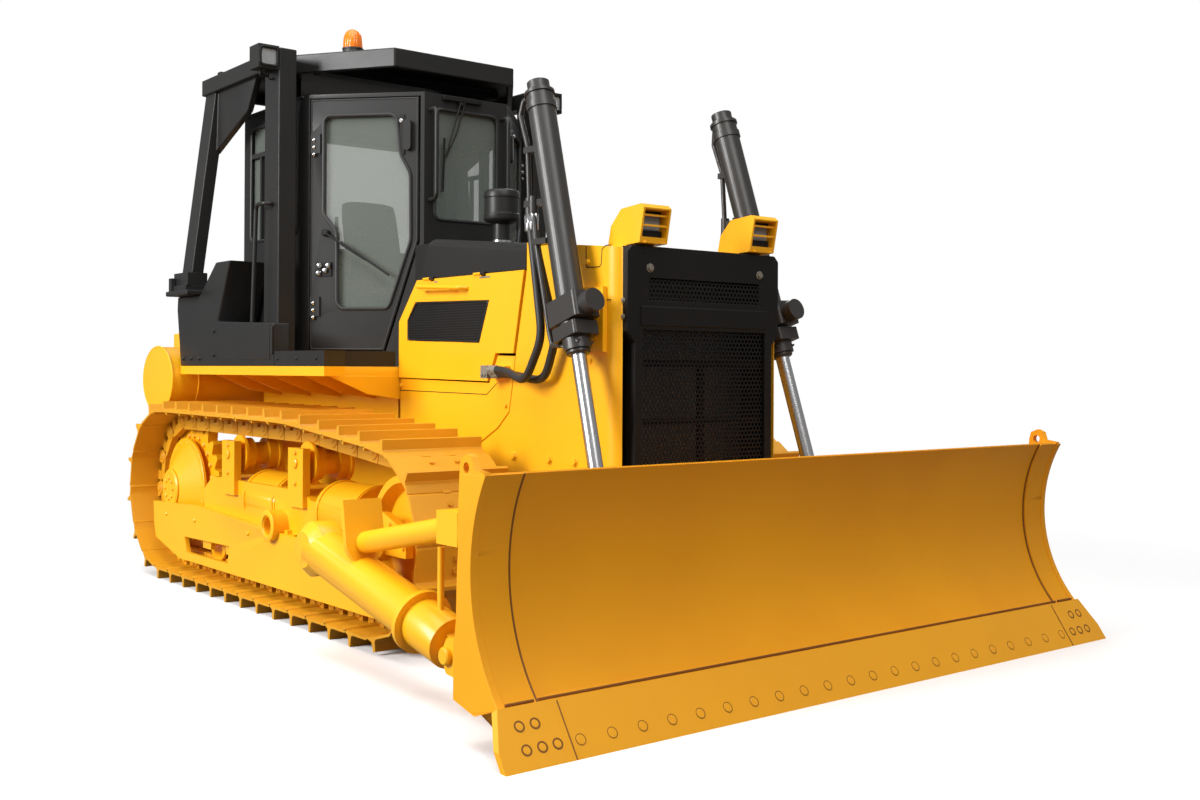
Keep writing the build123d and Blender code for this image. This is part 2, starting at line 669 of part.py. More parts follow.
def door_pane(plane, inset=0.0):
    """The door window's outline."""
    with BuildSketch(plane) as pane:
        Polygon(*door_window, align=None)
        fillet(pane.vertices(), 9)
        if inset:
            offset(amount=-inset, mode=Mode.REPLACE)
    return pane.sketch


front_wall = Plane(origin=(cab_front_x, 0, 0), x_dir=(0, 1, 0), z_dir=(1, 0, 0))
rear_wall = Plane(origin=(cab_rear_x, 0, 0), x_dir=(0, -1, 0), z_dir=(-1, 0, 0))
with BuildPart() as cab_shell:
    plan_piece(cab_z[0], cab_z[1] - cab_z[0], both_sides(cab_corners))
    with BuildSketch(Plane.XY.offset(cab_z[0] + cab_wall)):
        Polygon(*both_sides(cab_corners), align=None)
        offset(amount=-cab_wall, kind=Kind.INTERSECTION, mode=Mode.REPLACE)
    extrude(amount=cab_z[1] - cab_z[0] - 2 * cab_wall, mode=Mode.SUBTRACT)
    with BuildSketch(door_plane(1)) as doorway:
        Polygon(*door_edge(door_gap, door_front_gap), align=None)
    doorway_cut = extrude(doorway.sketch, amount=cab_wall + 2, mode=Mode.PRIVATE)
    add([doorway_cut, mirror(doorway_cut, about=Plane.XZ)], mode=Mode.SUBTRACT)
    for x, z in side_windows:
        extrude(rounded_window(flank(cab_half + 1), x, z, 40), amount=2 * cab_half + 2, mode=Mode.SUBTRACT)
    extrude(rounded_window(front_wall, *front_window, 40), amount=-cab_wall, mode=Mode.SUBTRACT)
    extrude(rounded_window(rear_wall, *rear_window, 40), amount=-cab_wall, mode=Mode.SUBTRACT)
singles["cab_shell"] = cab_shell

with BuildPart() as cab_glass:
    for x, z in side_windows:
        for y in (cab_half - pane_depth + glass, pane_depth - cab_half):
            extrude(rounded_window(flank(y), x, z, 39, glass_gap), amount=glass)
    for wall, pane in ((front_wall, front_window), (rear_wall, rear_window)):
        extrude(rounded_window(wall.offset(-pane_depth), *pane, 39, glass_gap), amount=glass)
singles["cab_glass"] = cab_glass

with BuildPart() as cab_door:
    with BuildSketch(door_plane()) as leaf:
        Polygon(*door_edge(0, 0), align=None)
    extrude(leaf.sketch, amount=cab_wall)
    extrude(door_pane(door_plane(1)), amount=cab_wall + 2, mode=Mode.SUBTRACT)
    # hinge plates and the grip near the front edge
    for z in (1600, 2510):
        with BuildSketch(door_plane()) as hinge_plate:
            with Locations((door_rear + 30, z)):
                Rectangle(56, 110)
        extrude(hinge_plate.sketch, amount=-10)
    with BuildSketch(door_plane()) as grip:
        with Locations((585, 2545)):
            SlotOverall(170, 44, rotation=90)
    extrude(grip.sketch, amount=-26)
pairs["cab_door"] = cab_door

with BuildPart() as door_glass:
    extrude(door_pane(door_plane(glass - pane_depth), glass_gap), amount=glass)
pairs["cab_door_glass"] = door_glass

floor_z = cab_z[0] + cab_wall
with BuildPart() as seat:
    block((-1420, -1120), (-170, 170), (floor_z, 1620))
    with BuildSketch(Plane.XY.offset(1620)):
        with Locations((-1260, 0)):
            RectangleRounded(520, 500, 60)
    extrude(amount=110)
    with BuildSketch(Plane(origin=(-1500, 0, 1700), x_dir=(0, 1, 0), z_dir=(0.97, 0, 0.24))):
        with Locations((0, 330)):
            RectangleRounded(470, 640, 80)
    extrude(amount=100)
singles["seat"] = seat

with BuildPart() as console:
    for side in (-1, 1):
        block((-1450, -980), (side * 330 - 70, side * 330 + 70), (floor_z, 1850))
        with Locations((-1020, side * 330, 1930)):
            Cylinder(14, 160)
        with Locations((-1020, side * 330, 2030)):
            Sphere(34)
    side_piece(210, 420, [(-425, floor_z), (-560, floor_z), (-620, 1780), (-560, 1890), (-425, 1890)])
singles["console"] = console

# ================================================================ ROPS, roof and lamps
with BuildPart() as rops_side:
    block((-2100, -1750), (leg_foot[1] - 100, leg_foot[1] + 100), (leg_foot[2] - 30, leg_foot[2]))
    for height, place in ((leg_foot[2], leg_foot), (beam_z[0], leg_head)):
        with BuildSketch(Plane.XY.offset(height)):
            with Locations((place[0], place[1])):
                Rectangle(*leg_size)
    loft()
    block(post_x, post_y, (deck_z[1], beam_z[0]))
    block((beam_rear_x, post_x[1]), post_y, beam_z)
    side_piece(leg_head[1] + 20, 40, [
        (-1850, beam_z[0]), (-1868, 2560), (-1371, 2750), (-1250, beam_z[0])])
pairs["rops_side"] = rops_side

with BuildPart() as roof:
    roof_outline = both_sides([
        (roof_front_x, roof_front_half), (roof_corner_x, post_y[0]), (roof_rear_x, post_y[0])])
    plan_piece(roof_z[0], roof_z[1] - roof_z[0], roof_outline)
    with BuildSketch(Plane.XY.offset(roof_z[0])):
        Polygon(*roof_outline, align=None)
        offset(amount=-roof_rim, kind=Kind.INTERSECTION, mode=Mode.REPLACE)
    extrude(amount=roof_z[1] - roof_z[0] - roof_rim, mode=Mode.SUBTRACT)
    block((-1080, -960), (-600, 600), (roof_z[0] + 20, roof_z[1] - roof_rim))
    # mounts that hold the cab's top
    for side in (-1, 1):
        block((-1560, -1440), (side * 560 - 60, side * 560 + 60), (cab_z[1], roof_z[1] - roof_rim))
singles["roof"] = roof

with BuildPart() as work_lamp:
    block((-985, -862), (post_y[1], post_y[1] + 118), (2898, 3026))
    block((-880, -861), (post_y[1] + 14, post_y[1] + 104), (2912, 3012), mode=Mode.SUBTRACT)
    mirror(about=Plane.XZ)
singles["work_lamps"] = work_lamp

with BuildPart() as beacon:
    with Locations((-909, -434, roof_z[1])):
        Cylinder(66, 58, align=(Align.CENTER, Align.CENTER, Align.MIN))
    with Locations((-909, -434, roof_z[1] + 58)):
        Cylinder(56, 70, align=(Align.CENTER, Align.CENTER, Align.MIN))
    with Locations((-909, -434, roof_z[1] + 124)):
        Sphere(49)
singles["beacon"] = beacon

# ================================================================ fuel tank and drawbar
with BuildPart() as fuel_tank:
    with BuildSketch(flank(tank_half)):
        with Locations(((tank_x[0] + tank_x[1]) / 2, (tank_z[0] + tank_z[1]) / 2)):
            Ellipse((tank_x[1] - tank_x[0]) / 2, (tank_z[1] - tank_z[0]) / 2)
    extrude(amount=2 * tank_half)
    block((-2500, -2150), (-880, 880), (1330, 1472))
singles["fuel_tank"] = fuel_tank

with BuildPart() as tank_bracket:
    for y in (-330, 330):
        side_piece(y + 30, 60, [
            (case_x[0], 700), (-2380, 900), (-2380, 1090), (case_x[0] - 55, 1090),
            (case_x[0] - 55, deck_z[0]), (case_x[0], deck_z[0])])
    with BuildSketch(flank(400)):
        with Locations(((tank_x[0] + tank_x[1]) / 2, (tank_z[0] + tank_z[1]) / 2)):
            Ellipse((tank_x[1] - tank_x[0]) / 2 + wheel_gap, (tank_z[1] - tank_z[0]) / 2 + wheel_gap)
    extrude(amount=800, mode=Mode.SUBTRACT)
singles["tank_bracket"] = tank_bracket

with BuildPart() as drawbar:
    side_piece(110, 220, [
        (case_x[0], drawbar_z[0]), (drawbar_x - 60, drawbar_z[0]), (drawbar_x - 60, drawbar_z[1]),
        (drawbar_x + 70, drawbar_z[1]), (case_x[0], drawbar_z[1] + 60)])
    block(
        (drawbar_x - 61, drawbar_x + 110), (-111, 111), (drawbar_z[0] + 55, drawbar_z[1] - 55),
        mode=Mode.SUBTRACT)
    with Locations((drawbar_x, 0, 500)):
        Cylinder(drawbar_bore, 600, mode=Mode.SUBTRACT)
    fillet(drawbar.edges().filter_by(Axis.Z).group_by(Axis.X)[0], 50)
    side_piece(200, 400, [
        (-1990, 300), (-1500, 300), (-1500, belly_z), (case_x[0] + 140, belly_z), (case_x[0], 600),
        (-1990, 800)], mode=Mode.SUBTRACT)
singles["drawbar"] = drawbar

# ================================================================ blade
def blade_face(back=0.0):
    """The moldboard's hollow face, or a line behind it."""
    return [(x - back, z) for x, z in (blade_top, blade_hollow, blade_foot)]


edge_run = (Vector(edge_tip_x, 0) - Vector(*edge_top)).normalized()
edge_in = Vector(edge_run.Y, -edge_run.X)           # from the edge's face into its back
edge_back = tuple(Vector(*edge_top) + edge_in * edge_thickness)[:2]
edge_seat = tuple(Vector(*edge_back) + edge_run * 110)[:2]
edge_heel = (edge_back[0] - edge_run.X * edge_back[1] / edge_run.Y, 0)
edge_section = [edge_top, (edge_tip_x, 0), edge_heel, edge_back]

with BuildPart() as blade:
    with BuildSketch(flank(blade_half)) as blade_section:
        with BuildLine():
            front, back = blade_face(), blade_face(blade_plate)
            ThreePointArc(*front)
            Line(front[2], back[2])
            ThreePointArc(*back)
            Line(back[0], front[0])
        make_face()
    extrude(amount=2 * blade_half)
    # beams behind the top and the foot
    side_piece(blade_half, 2 * blade_half, [
        (blade_top[0] - 21, 905), (blade_top[0] - 95, 905), (blade_top[0] - 155, 800), (2262, 760)])
    side_piece(blade_half, 2 * blade_half, [
        blade_foot, edge_back, edge_seat, (2455, 62), (2300, 120), (2180, 160), (2180, 330), (2330, 330),
        (blade_foot[0] - 22, blade_foot[1] + 20)])
    # side plates with the lifting lugs
    for side in (-1, 1):
        outer = max(side * (blade_half + side_plate), side * blade_half)
        side_piece(outer, side_plate, [
            (2300, 120), (blade_foot[0] + 6, blade_foot[1]), (2380, 300), (2310, 450), (2272, 580),
            (2270, 700), (2300, 810), (2355, 915), (2290, 925), (2280, 960), (2250, 974), (2215, 960),
            (2205, 925), (2190, 700), (2215, 560), (2170, 330), (2170, 150)])
        disc(lug_hole[0], lug_hole[1], (outer, outer - side_plate), lug_bore, mode=Mode.SUBTRACT)
    # raised wear strips down each end of the face
    for outer in (blade_half, strip_width - blade_half):
        with BuildSketch(flank(outer)) as strip_section:
            with BuildLine():
                front, back = blade_face(-strip_thickness), blade_face()
                ThreePointArc(*front)
                Line(front[2], back[2])
                ThreePointArc(*back)
                Line(back[0], front[0])
            make_face()
        extrude(amount=strip_width)
    side_piece(bit_half, 2 * bit_half, edge_section, mode=Mode.SUBTRACT)
singles["blade"] = blade

with BuildPart() as cutting_edge:
    side_piece(edge_half, 2 * edge_half, edge_section)
singles["cutting_edge"] = cutting_edge

with BuildPart() as end_bits:
    side_piece(bit_half, bit_half - edge_half - 1, edge_section)
    # the outer end flares down to the tip
    cross_piece(2300, 300, [
        (bit_half - 54, 200), (bit_half, 60), (bit_half + 10, 60), (bit_half + 10, 200)],
        mode=Mode.SUBTRACT)
    mirror(about=Plane.XZ)
singles["end_bits"] = end_bits

# Brackets on the blade's back: ears for each lift cylinder, lugs for the arms and braces.
cylinder_run = Vector(*cylinder_low) - Vector(*cylinder_top)
cylinder_axis = cylinder_run.normalized()


def on_cylinder(z):
    """The point on the left cylinder's axis at a height."""
    share = (cylinder_top[2] - z) / (cylinder_top[2] - cylinder_low[2])
    return Vector(*cylinder_top) + cylinder_run * share


eye = on_cylinder(eye_z)
ear_front = 2180 - seat_gap
with BuildPart() as blade_bracket:
    for outer in (eye.Y + ear_gap + ear_thickness, eye.Y - ear_gap):
        side_piece(outer, ear_thickness, [
            (eye.X - 75, eye_z - 60), (eye.X + 40, eye_z - 110), (ear_front, 180), (ear_front, 328),
            (2176, 520), (2150, 640), (eye.X + 60, eye_z + 100), (eye.X - 60, eye_z + 70)])
    block((eye.X + 230, 2176), (eye.Y - ear_gap, eye.Y + ear_gap), (345, 560))
    # pin heads outside the ears
    for y0, y1 in ((eye.Y + ear_gap + ear_thickness, eye.Y + ear_gap + ear_thickness + 22),
                   (eye.Y - ear_gap - ear_thickness, eye.Y - ear_gap - ear_thickness - 22)):
        disc(eye.X, eye_z, (y0, y1), 50)
    # lugs for the push arm and its brace
    side_piece(arm_y + 75, 150, [
        (arm_front[0] + 122, 130), (ear_front, 125), (ear_front, 330), (arm_front[0] + 122, 300)])
    for outer in (arm_y + 75, arm_y - 45):
        side_piece(outer, 30, [
            (arm_front[0] - 10, 140), (arm_front[0] + 122, 130), (arm_front[0] + 122, 290),
                               (arm_front[0] - 10, 270), (arm_front[0] - 50, 205)])
    side_piece(arm_y + 60, 120, [
        (brace_front[0] + 90, 610), (2170, 560), (ear_front, 330), (2235, 560), (2205, 700),
        (brace_front[0] + 90, 730)])
    mirror(about=Plane.XZ)
singles["blade_brackets"] = blade_bracket

# ---------------------------------------------------------------- push arms and braces
arm_run = Vector(arm_front[0] - trunnion_x, 0, arm_front[1] - trunnion_z)
arm_direction = arm_run.normalized()
brace_run = Vector(brace_front[0] - brace_rear[0], 0, brace_front[1] - brace_rear[1])
brace_direction = brace_run.normalized()
brace_seat = Plane(origin=(brace_rear[0], arm_y, brace_rear[1]), x_dir=(0, 1, 0), z_dir=brace_direction)
collar_middle = Vector(trunnion_x, arm_y, trunnion_z) + arm_direction * (arm_run.length - 330)
with BuildPart() as push_arm:
    disc(trunnion_x, trunnion_z, (arm_y - 90, arm_y + 90), arm_radius + 22)
    chamfer(push_arm.edges().filter_by(GeomType.CIRCLE), 42)
    with BuildSketch(Plane(origin=(trunnion_x, arm_y, trunnion_z), z_dir=arm_direction)):
        Circle(arm_radius)
    extrude(amount=arm_run.length - 90)
    with BuildSketch(Plane(origin=collar_middle, z_dir=arm_direction)):
        Circle(arm_radius + 28)
    extrude(amount=24)
    with BuildSketch(flank(arm_y + 34)):
        with BuildLine():
            Polyline((arm_front[0] - 130, arm_front[1] - 40), (arm_front[0], arm_front[1] - 42),
                     (arm_front[0] + 42, arm_front[1]), (arm_front[0], arm_front[1] + 42),
                     (arm_front[0] - 130, arm_front[1] + 80), close=True)
        make_face()
    extrude(amount=68)
    # a stay from the collar up to the brace
    with Locations((1642, arm_y, 430)):
        Cylinder(13, 300)
    # the plate that holds the brace's rear end
    with BuildSketch(brace_seat) as seat_plate:
        Circle(brace_radius + 42)
        with Locations((0, 90)):
            Rectangle(2 * brace_radius + 84, 180)
    extrude(seat_plate.sketch, amount=-28)
    disc(
        trunnion_x, trunnion_z, (arm_y - 200, trunnion_end_y + 2), trunnion_radius + wheel_gap,
        mode=Mode.SUBTRACT)
    mirror(about=Plane.XZ)
singles["push_arms"] = push_arm

with BuildPart() as brace:
    with BuildSketch(brace_seat):
        Circle(brace_radius)
    extrude(amount=brace_run.length - 40)
    block(
        (brace_front[0] - 55, brace_front[0] + 90), (arm_y - 62, arm_y + 62),
        (brace_front[1] - 62, brace_front[1] + 62))
    mirror(about=Plane.XZ)
singles["braces"] = brace

# ================================================================ lift cylinders
def cylinder_plane(z):
    """The plane across the left cylinder at a height, facing down its axis."""
    return Plane(origin=on_cylinder(z), x_dir=(0, 1, 0), z_dir=cylinder_axis)


def run_between(z0, z1):
    """The distance along the cylinder between two heights."""
    return (on_cylinder(z1) - on_cylinder(z0)).length


pivot = on_cylinder(cylinder_pivot_z)
forward = Vector(-cylinder_axis.Z, 0, cylinder_axis.X).normalized()     # across the cylinder, to its front


def stepped(z0, z1, radius, mode=Mode.ADD):
    """A round length of the cylinder between two heights."""
    with BuildSketch(cylinder_plane(z0)) as ring:
        Circle(radius)
    extrude(ring.sketch, amount=run_between(z0, z1), mode=mode)


def tube(points, radius, bend):
    """A round tube along straight runs joined by bends."""
    with BuildLine() as route:
        FilletPolyline(*points, radius=bend)
    start = route.line @ 0
    with BuildSketch(Plane(origin=start, z_dir=route.line % 0)) as ring:
        Circle(radius)
    sweep(ring.sketch, path=route.line)


with BuildPart() as lift_barrel:
    stepped(cylinder_top[2], 2498, barrel_radius - 11)
    stepped(2500, gland_z, barrel_radius)
    stepped(2440, 2410, barrel_radius + 6)
    # the collar that carries the trunnions, the trunnion caps and the gland's block
    with BuildSketch(cylinder_plane(1558)) as collar:
        with Locations((0, 4)):
            RectangleRounded(2 * collar_half - 8, 212, 18)
    extrude(collar.sketch, amount=run_between(1558, 1452))
    for reach, length, radius in ((100, 66, 50), (-98, -30, 40)):
        with BuildSketch(Plane(origin=pivot + forward * reach, z_dir=forward)) as cap:
            Circle(radius)
        extrude(cap.sketch, amount=length)
    with BuildSketch(cylinder_plane(1440)) as gland_block:
        RectangleRounded(2 * collar_half - 6, 168, 14)
    extrude(gland_block.sketch, amount=run_between(1440, 1384))
    disc(pivot.X, pivot.Z, (pivot.Y - 50, engine_side + 8), pivot_radius)
    # unions and the clamps that hold the pipes
    for x, y in ((1112, 600), (1172, 622)):
        with Locations((x, y, 1975)):
            Cylinder(21, 90)
    block((1095, 1250), (588, 622), (1978, 2006))
    block((1076, 1180), (580, 612), (2222, 2250))
    block((1205, 1310), (600, 656), (1800, 1826))
    stepped(cylinder_top[2] - 57, gland_z + 38, barrel_bore, mode=Mode.SUBTRACT)
    stepped(gland_z + 60, gland_z - 20, rod_radius + piston_gap, mode=Mode.SUBTRACT)
    # steel pipes to the two ports
    tube([
        (1112, 600, 1960), (1092, 598, 2250), (1030, 596, 2400), (1044, 588, 2470),
        (1070, 566, 2470)], pipe_radius, 18)
    tube([
        (1172, 622, 1960), (1217, 640, 1822), (1322, 640, 1415), (1345, 640, 1357),
        (1425, 640, 1357)], pipe_radius, 18)
pairs["lift_barrel"] = lift_barrel

with BuildPart() as cylinder_yoke:
    disc(pivot.X, pivot.Z, (engine_side, pivot.Y - collar_half - 22), bearing_radius)
    side_piece(engine_side + 22, 22, [
        (pivot.X - 120, pivot.Z - 170), (pivot.X + 90, pivot.Z - 170), (pivot.X + 90, pivot.Z + 110),
        (pivot.X - 120, pivot.Z + 110)])
    disc(pivot.X, pivot.Z, (engine_side - 10, pivot.Y), pivot_radius + wheel_gap, mode=Mode.SUBTRACT)
    mirror(about=Plane.XZ)
singles["cylinder_yokes"] = cylinder_yoke

rod_inside = 400.0
with BuildPart() as lift_rod:
    with BuildSketch(cylinder_plane(gland_z).offset(-rod_inside)):
        Circle(rod_radius)
    extrude(amount=rod_inside + run_between(gland_z, eye_z))
    with BuildSketch(cylinder_plane(gland_z).offset(-rod_inside)):
        Circle(barrel_bore - piston_gap)
    extrude(amount=60)
    disc(eye.X, eye_z, (eye.Y - eye_width / 2, eye.Y + eye_width / 2), eye_radius)
pairs["lift_rod"] = lift_rod

# ================================================================ hoses and grab rails
# The hoses stop short of the unions, which swing with the cylinder.
with BuildPart() as hoses:
    for y, z, low, knee, top in (
        (562, 1250, (1085, 602, 1196), (1214, 602, 1395), (1134, 600, 1812)),
        (548, 1232, (1150, 542, 1200), (1252, 542, 1400), (1150, 556, 1800)),
    ):
        tube([(hose_block_x[1] - 90, y, z), (hose_block_x[1] + 60, y, z), low, knee, top], hose_radius, 70)
    block((hose_block_x[0] + 10, hose_block_x[1] - 60), (engine_side + 34 + seat_gap, 582), (1210, 1272))
    mirror(about=Plane.XZ)
singles["hoses"] = hoses

with BuildPart() as grab_rails:
    rail_y = deck_half - 45
    tube([(-1085, rail_y, 1512), (-1040, rail_y, 2165), (-930, rail_y, 2165), (-930, post_y[1] + 1, 2165)],
         pipe_radius, 35)
    front = cab_front_x + seat_gap
    tube([
        (front, 236, 2690), (front + 70, 236, 2690), (front + 70, 236, 2190), (front, 236, 2190)],
        pipe_radius, 35)
    mirror(about=Plane.XZ)
singles["grab_rails"] = grab_rails

# ================================================================ write
os.makedirs("parts", exist_ok=True)
for name, piece in singles.items():
    piece.part.label = name
    export_step(piece.part, f"parts/{name}.step")
for name, piece in pairs.items():
    for hand, solid in (("left", piece.part), ("right", mirror(piece.part, about=Plane.XZ))):
        solid.label = f"{name}_{hand}"
        export_step(solid, f"parts/{name}_{hand}.step")
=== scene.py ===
import json
import math
import bmesh
import bpy
from mathutils import Matrix, Vector


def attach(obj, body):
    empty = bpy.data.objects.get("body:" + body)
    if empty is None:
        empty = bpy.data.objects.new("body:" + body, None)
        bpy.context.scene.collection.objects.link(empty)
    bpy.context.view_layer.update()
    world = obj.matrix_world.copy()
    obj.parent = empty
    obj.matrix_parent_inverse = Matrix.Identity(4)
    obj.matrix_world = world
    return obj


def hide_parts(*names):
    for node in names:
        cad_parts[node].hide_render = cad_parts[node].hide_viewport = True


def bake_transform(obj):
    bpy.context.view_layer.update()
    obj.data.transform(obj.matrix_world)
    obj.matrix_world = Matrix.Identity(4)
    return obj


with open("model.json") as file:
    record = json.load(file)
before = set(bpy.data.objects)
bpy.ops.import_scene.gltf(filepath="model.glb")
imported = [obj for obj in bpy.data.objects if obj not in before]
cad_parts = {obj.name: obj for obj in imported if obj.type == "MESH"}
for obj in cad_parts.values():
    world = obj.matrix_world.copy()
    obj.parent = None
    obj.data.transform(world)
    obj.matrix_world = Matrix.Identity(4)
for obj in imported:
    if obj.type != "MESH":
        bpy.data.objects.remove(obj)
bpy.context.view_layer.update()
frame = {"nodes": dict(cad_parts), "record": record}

nodes = frame["nodes"]
bodies = frame["record"]["behaviour"]["bodies"]
body_of_node = {node: body for body, members in bodies.items() for node in members}
slot_of_node = {row["node"]: row["material_slot"] for row in frame["record"]["subparts"]}
collection = bpy.context.scene.collection
sharp_angle = 32.0      # degrees: edges that turn by more stay sharp, or are eased
flat_angle = 0.6        # degrees: CAD faces that turn by less become one face
weld_gap = 0.00002      # metres: CAD corners that are nearer become one corner
cell_weld = 0.0004      # metres: the same for the cells of a screen


# ---------------------------------------------------------------- camera
def place_camera():
    """The camera stands in front of the right blade end, a little over a metre up."""
    lens = bpy.data.cameras.new("camera")
    lens.sensor_width = 36.0
    lens.lens = 39.28
    lens.shift_x = -0.0214
    lens.shift_y = -0.0307
    lens.clip_end = 200.0
    camera = bpy.data.objects.new("camera", lens)
    right = Vector((0.630868, 0.775876, 0.004681))
    up = Vector((0.001214, -0.007020, 0.999975))
    ahead = Vector((-0.775889, 0.630847, 0.005370))
    turn = Matrix((right, up, -ahead)).transposed().to_4x4()
    camera.matrix_world = Matrix.Translation((5.9269, -3.9580, 1.2520)) @ turn
    collection.objects.link(camera)
    bpy.context.scene.camera = camera


# ---------------------------------------------------------------- shader maths
class Socket:
    """A shader socket that arithmetic can be written on."""

    def __init__(self, finish, link):
        self.finish = finish
        self.link = link

    def _math(self, operation, first, second):
        return self.finish.node("ShaderNodeMath", {"operation": operation}, (first, second))

    def __add__(self, other):
        return self._math("ADD", self, other)

    __radd__ = __add__

    def __mul__(self, other):
        return self._math("MULTIPLY", self, other)

    __rmul__ = __mul__

    def __sub__(self, other):
        return self._math("SUBTRACT", self, other)

    def __rsub__(self, other):
        return self._math("SUBTRACT", other, self)


class Finish:
    """A material, or the world, under construction."""

    def __init__(self, owner, output="ShaderNodeOutputMaterial"):
        self.owner = owner
        self.owner.use_nodes = True
        self.tree = self.owner.node_tree
        self.tree.nodes.clear()
        self.output = self.tree.nodes.new(output)

    def node(self, kind, settings=None, inputs=(), out=0):
        """Adds a node: its settings first, then the values or links of its sockets."""
        made = self.tree.nodes.new(kind)
        for key, value in (settings or {}).items():
            setattr(made, key, value)
        pairs = inputs.items() if isinstance(inputs, dict) else enumerate(inputs)
        for key, value in pairs:
            if isinstance(value, Socket):
                self.tree.links.new(value.link, made.inputs[key])
            else:
                made.inputs[key].default_value = value
        return Socket(self, made.outputs[out])

    def place(self):
        return self.node("ShaderNodeTexCoord", out="Object")

    def noise(self, scale, detail=3.0, stretch=None):
        """Noise in object space, from 0 to 1."""
        vector = self.place()
        if stretch:
            vector = self.node("ShaderNodeMapping", {}, {"Vector": vector, "Scale": stretch})
        return self.node("ShaderNodeTexNoise", {}, {
            "Vector": vector, "Scale": scale, "Detail": detail})

    def ramp(self, value, low, high):
        """Stretches the range from low to high over 0 to 1, held at its ends."""
        return self.node("ShaderNodeMapRange", {}, {
            "Value": value, "From Min": low, "From Max": high})

    def mix(self, share, first, second):
        """A colour between two."""
        colours = {0: share, 6: rgba(*first), 7: rgba(*second)}
        return self.node("ShaderNodeMix", {"data_type": "RGBA"}, colours, out=2)

    def bump(self, height, strength, distance):
        return self.node("ShaderNodeBump", {}, {
            "Strength": strength, "Distance": distance, "Height": height})

    def done(self, shader):
        self.tree.links.new(shader.link, self.output.inputs["Surface"])
        return self.owner


def rgba(r, g, b):
    return (r, g, b, 1.0)


def duller(colour):
    """The darker end of a colour's faint drift."""
    return [c * 0.85 for c in colour]


def paint(name, colour, shade, roughness, coat=0.0, grain=0.0, shine=0.5):
    """Sprayed paint: a faint drift of colour and gloss, and orange peel."""
    finish = Finish(bpy.data.materials.new(name))
    drift = finish.ramp(finish.noise(1.7, 4.0), 0.3, 0.7)
    peel = finish.noise(420.0, 2.0)
    return finish.done(finish.node("ShaderNodeBsdfPrincipled", {}, {
        "Base Color": finish.mix(drift, colour, shade),
        "Roughness": roughness + 0.10 * finish.noise(9.0, 4.0),
        "Normal": finish.bump(peel, 0.06 + grain, 0.0006),
        "Coat Weight": coat, "Coat Roughness": 0.12, "Specular IOR Level": shine}))


def plain_glass(name, colour, clearness, roughness=0.03):
    """Tinted glazing that lets light and shadow through."""
    finish = Finish(bpy.data.materials.new(name))
    return finish.done(finish.node("ShaderNodeBsdfPrincipled", {}, {
        "Base Color": finish.mix(finish.noise(2.0), colour, duller(colour)),
        "Roughness": roughness, "Metallic": 0.0, "Alpha": 1.0 - clearness}))


def metal(name, colour, roughness):
    """Bare metal, its gloss drawn out lengthwise."""
    finish = Finish(bpy.data.materials.new(name))
    return finish.done(finish.node("ShaderNodeBsdfPrincipled", {}, {
        "Base Color": finish.mix(finish.noise(3.0), colour, duller(colour)),
        "Roughness": roughness + 0.08 * finish.noise(60.0, 3.0, stretch=(1.0, 1.0, 0.05)),
        "Metallic": 1.0}))


def make_finishes():
    """One finish for each of the record's material slots."""
    rows = (
        # slot, paint, colour, shade, roughness, coat, grain, shine
        ("yellow_paint", paint, (0.93, 0.455, 0.006), (0.89, 0.425, 0.005), 0.34, 0.2, 0.0, 0.4),
        # the tracks' yellow, darker and more orange than the body's, is partly their own paint and
        # partly painted shade of the low-lying tracks
        ("yellow_track", paint, (0.71, 0.335, 0.008), (0.62, 0.275, 0.008), 0.42, 0.0, 0.1),
        ("black_paint", paint, (0.015, 0.015, 0.015), (0.018, 0.017, 0.016), 0.36, 0.05, 0.05, 0.28),
        ("mask_black", paint, (0.006, 0.006, 0.006), (0.009, 0.008, 0.007), 0.45, 0.0, 0.0, 0.25),
        # the cutting edge's orange is partly its own paint and partly painted shade, as on the blade
        ("edge_steel", paint, (0.88, 0.385, 0.003), (0.84, 0.355, 0.003), 0.40, 0.1),
        ("cylinder_paint", paint, (0.032, 0.030, 0.028), (0.036, 0.034, 0.032), 0.34, 0.1, 0.0, 0.4),
        # slot, metal, colour, roughness
        ("rod_chrome", metal, (0.66, 0.66, 0.67), 0.22),
        # slot, glass, colour, clearness, roughness
        ("tinted_glass", plain_glass, (0.24, 0.27, 0.24), 0.64),
        ("lamp_lens", plain_glass, (0.46, 0.48, 0.48), 0.45, 0.08),
        ("beacon_amber", plain_glass, (1.0, 0.22, 0.01), 0.05, 0.1),
        ("seat_fabric", paint, (0.02, 0.02, 0.022), (0.03, 0.03, 0.032), 0.85, 0.0, 0.5),
        ("console_plastic", paint, (0.03, 0.03, 0.032), (0.04, 0.04, 0.042), 0.55, 0.0, 0.2),
        ("engine_iron", paint, (0.20, 0.18, 0.14), (0.16, 0.15, 0.12), 0.6, 0.0, 0.4),
        ("radiator_alloy", metal, (0.20, 0.20, 0.21), 0.5),
        ("hose_rubber", paint, (0.015, 0.015, 0.015), (0.022, 0.021, 0.020), 0.45),
    )
    return {slot: kind(slot, *values) for slot, kind, *values in rows}


# ---------------------------------------------------------------- meshes
def merged(node):
    """A welded copy of a CAD node's mesh."""
    mesh = nodes[node].data.copy()
    work = bmesh.new()
    work.from_mesh(mesh)
    bmesh.ops.remove_doubles(work, verts=work.verts, dist=weld_gap)
    bmesh.ops.dissolve_limit(
        work, angle_limit=math.radians(flat_angle), verts=work.verts, edges=work.edges)
    work.to_mesh(mesh)
    work.free()
    return mesh


def softened(node, width):
    """The CAD node with its sharp edges eased, standing for it."""
    piece = finished(node + "_eased", merged(node), body_of_node[node], slot_of_node[node], width)
    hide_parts(node)


def dress_frame():
    """Gives every CAD node its finish."""
    for name, obj in nodes.items():
        obj.data.materials.clear()
        obj.data.materials.append(finishes[slot_of_node[name]])
        obj.data.polygons.foreach_set("use_smooth", [False] * len(obj.data.polygons))


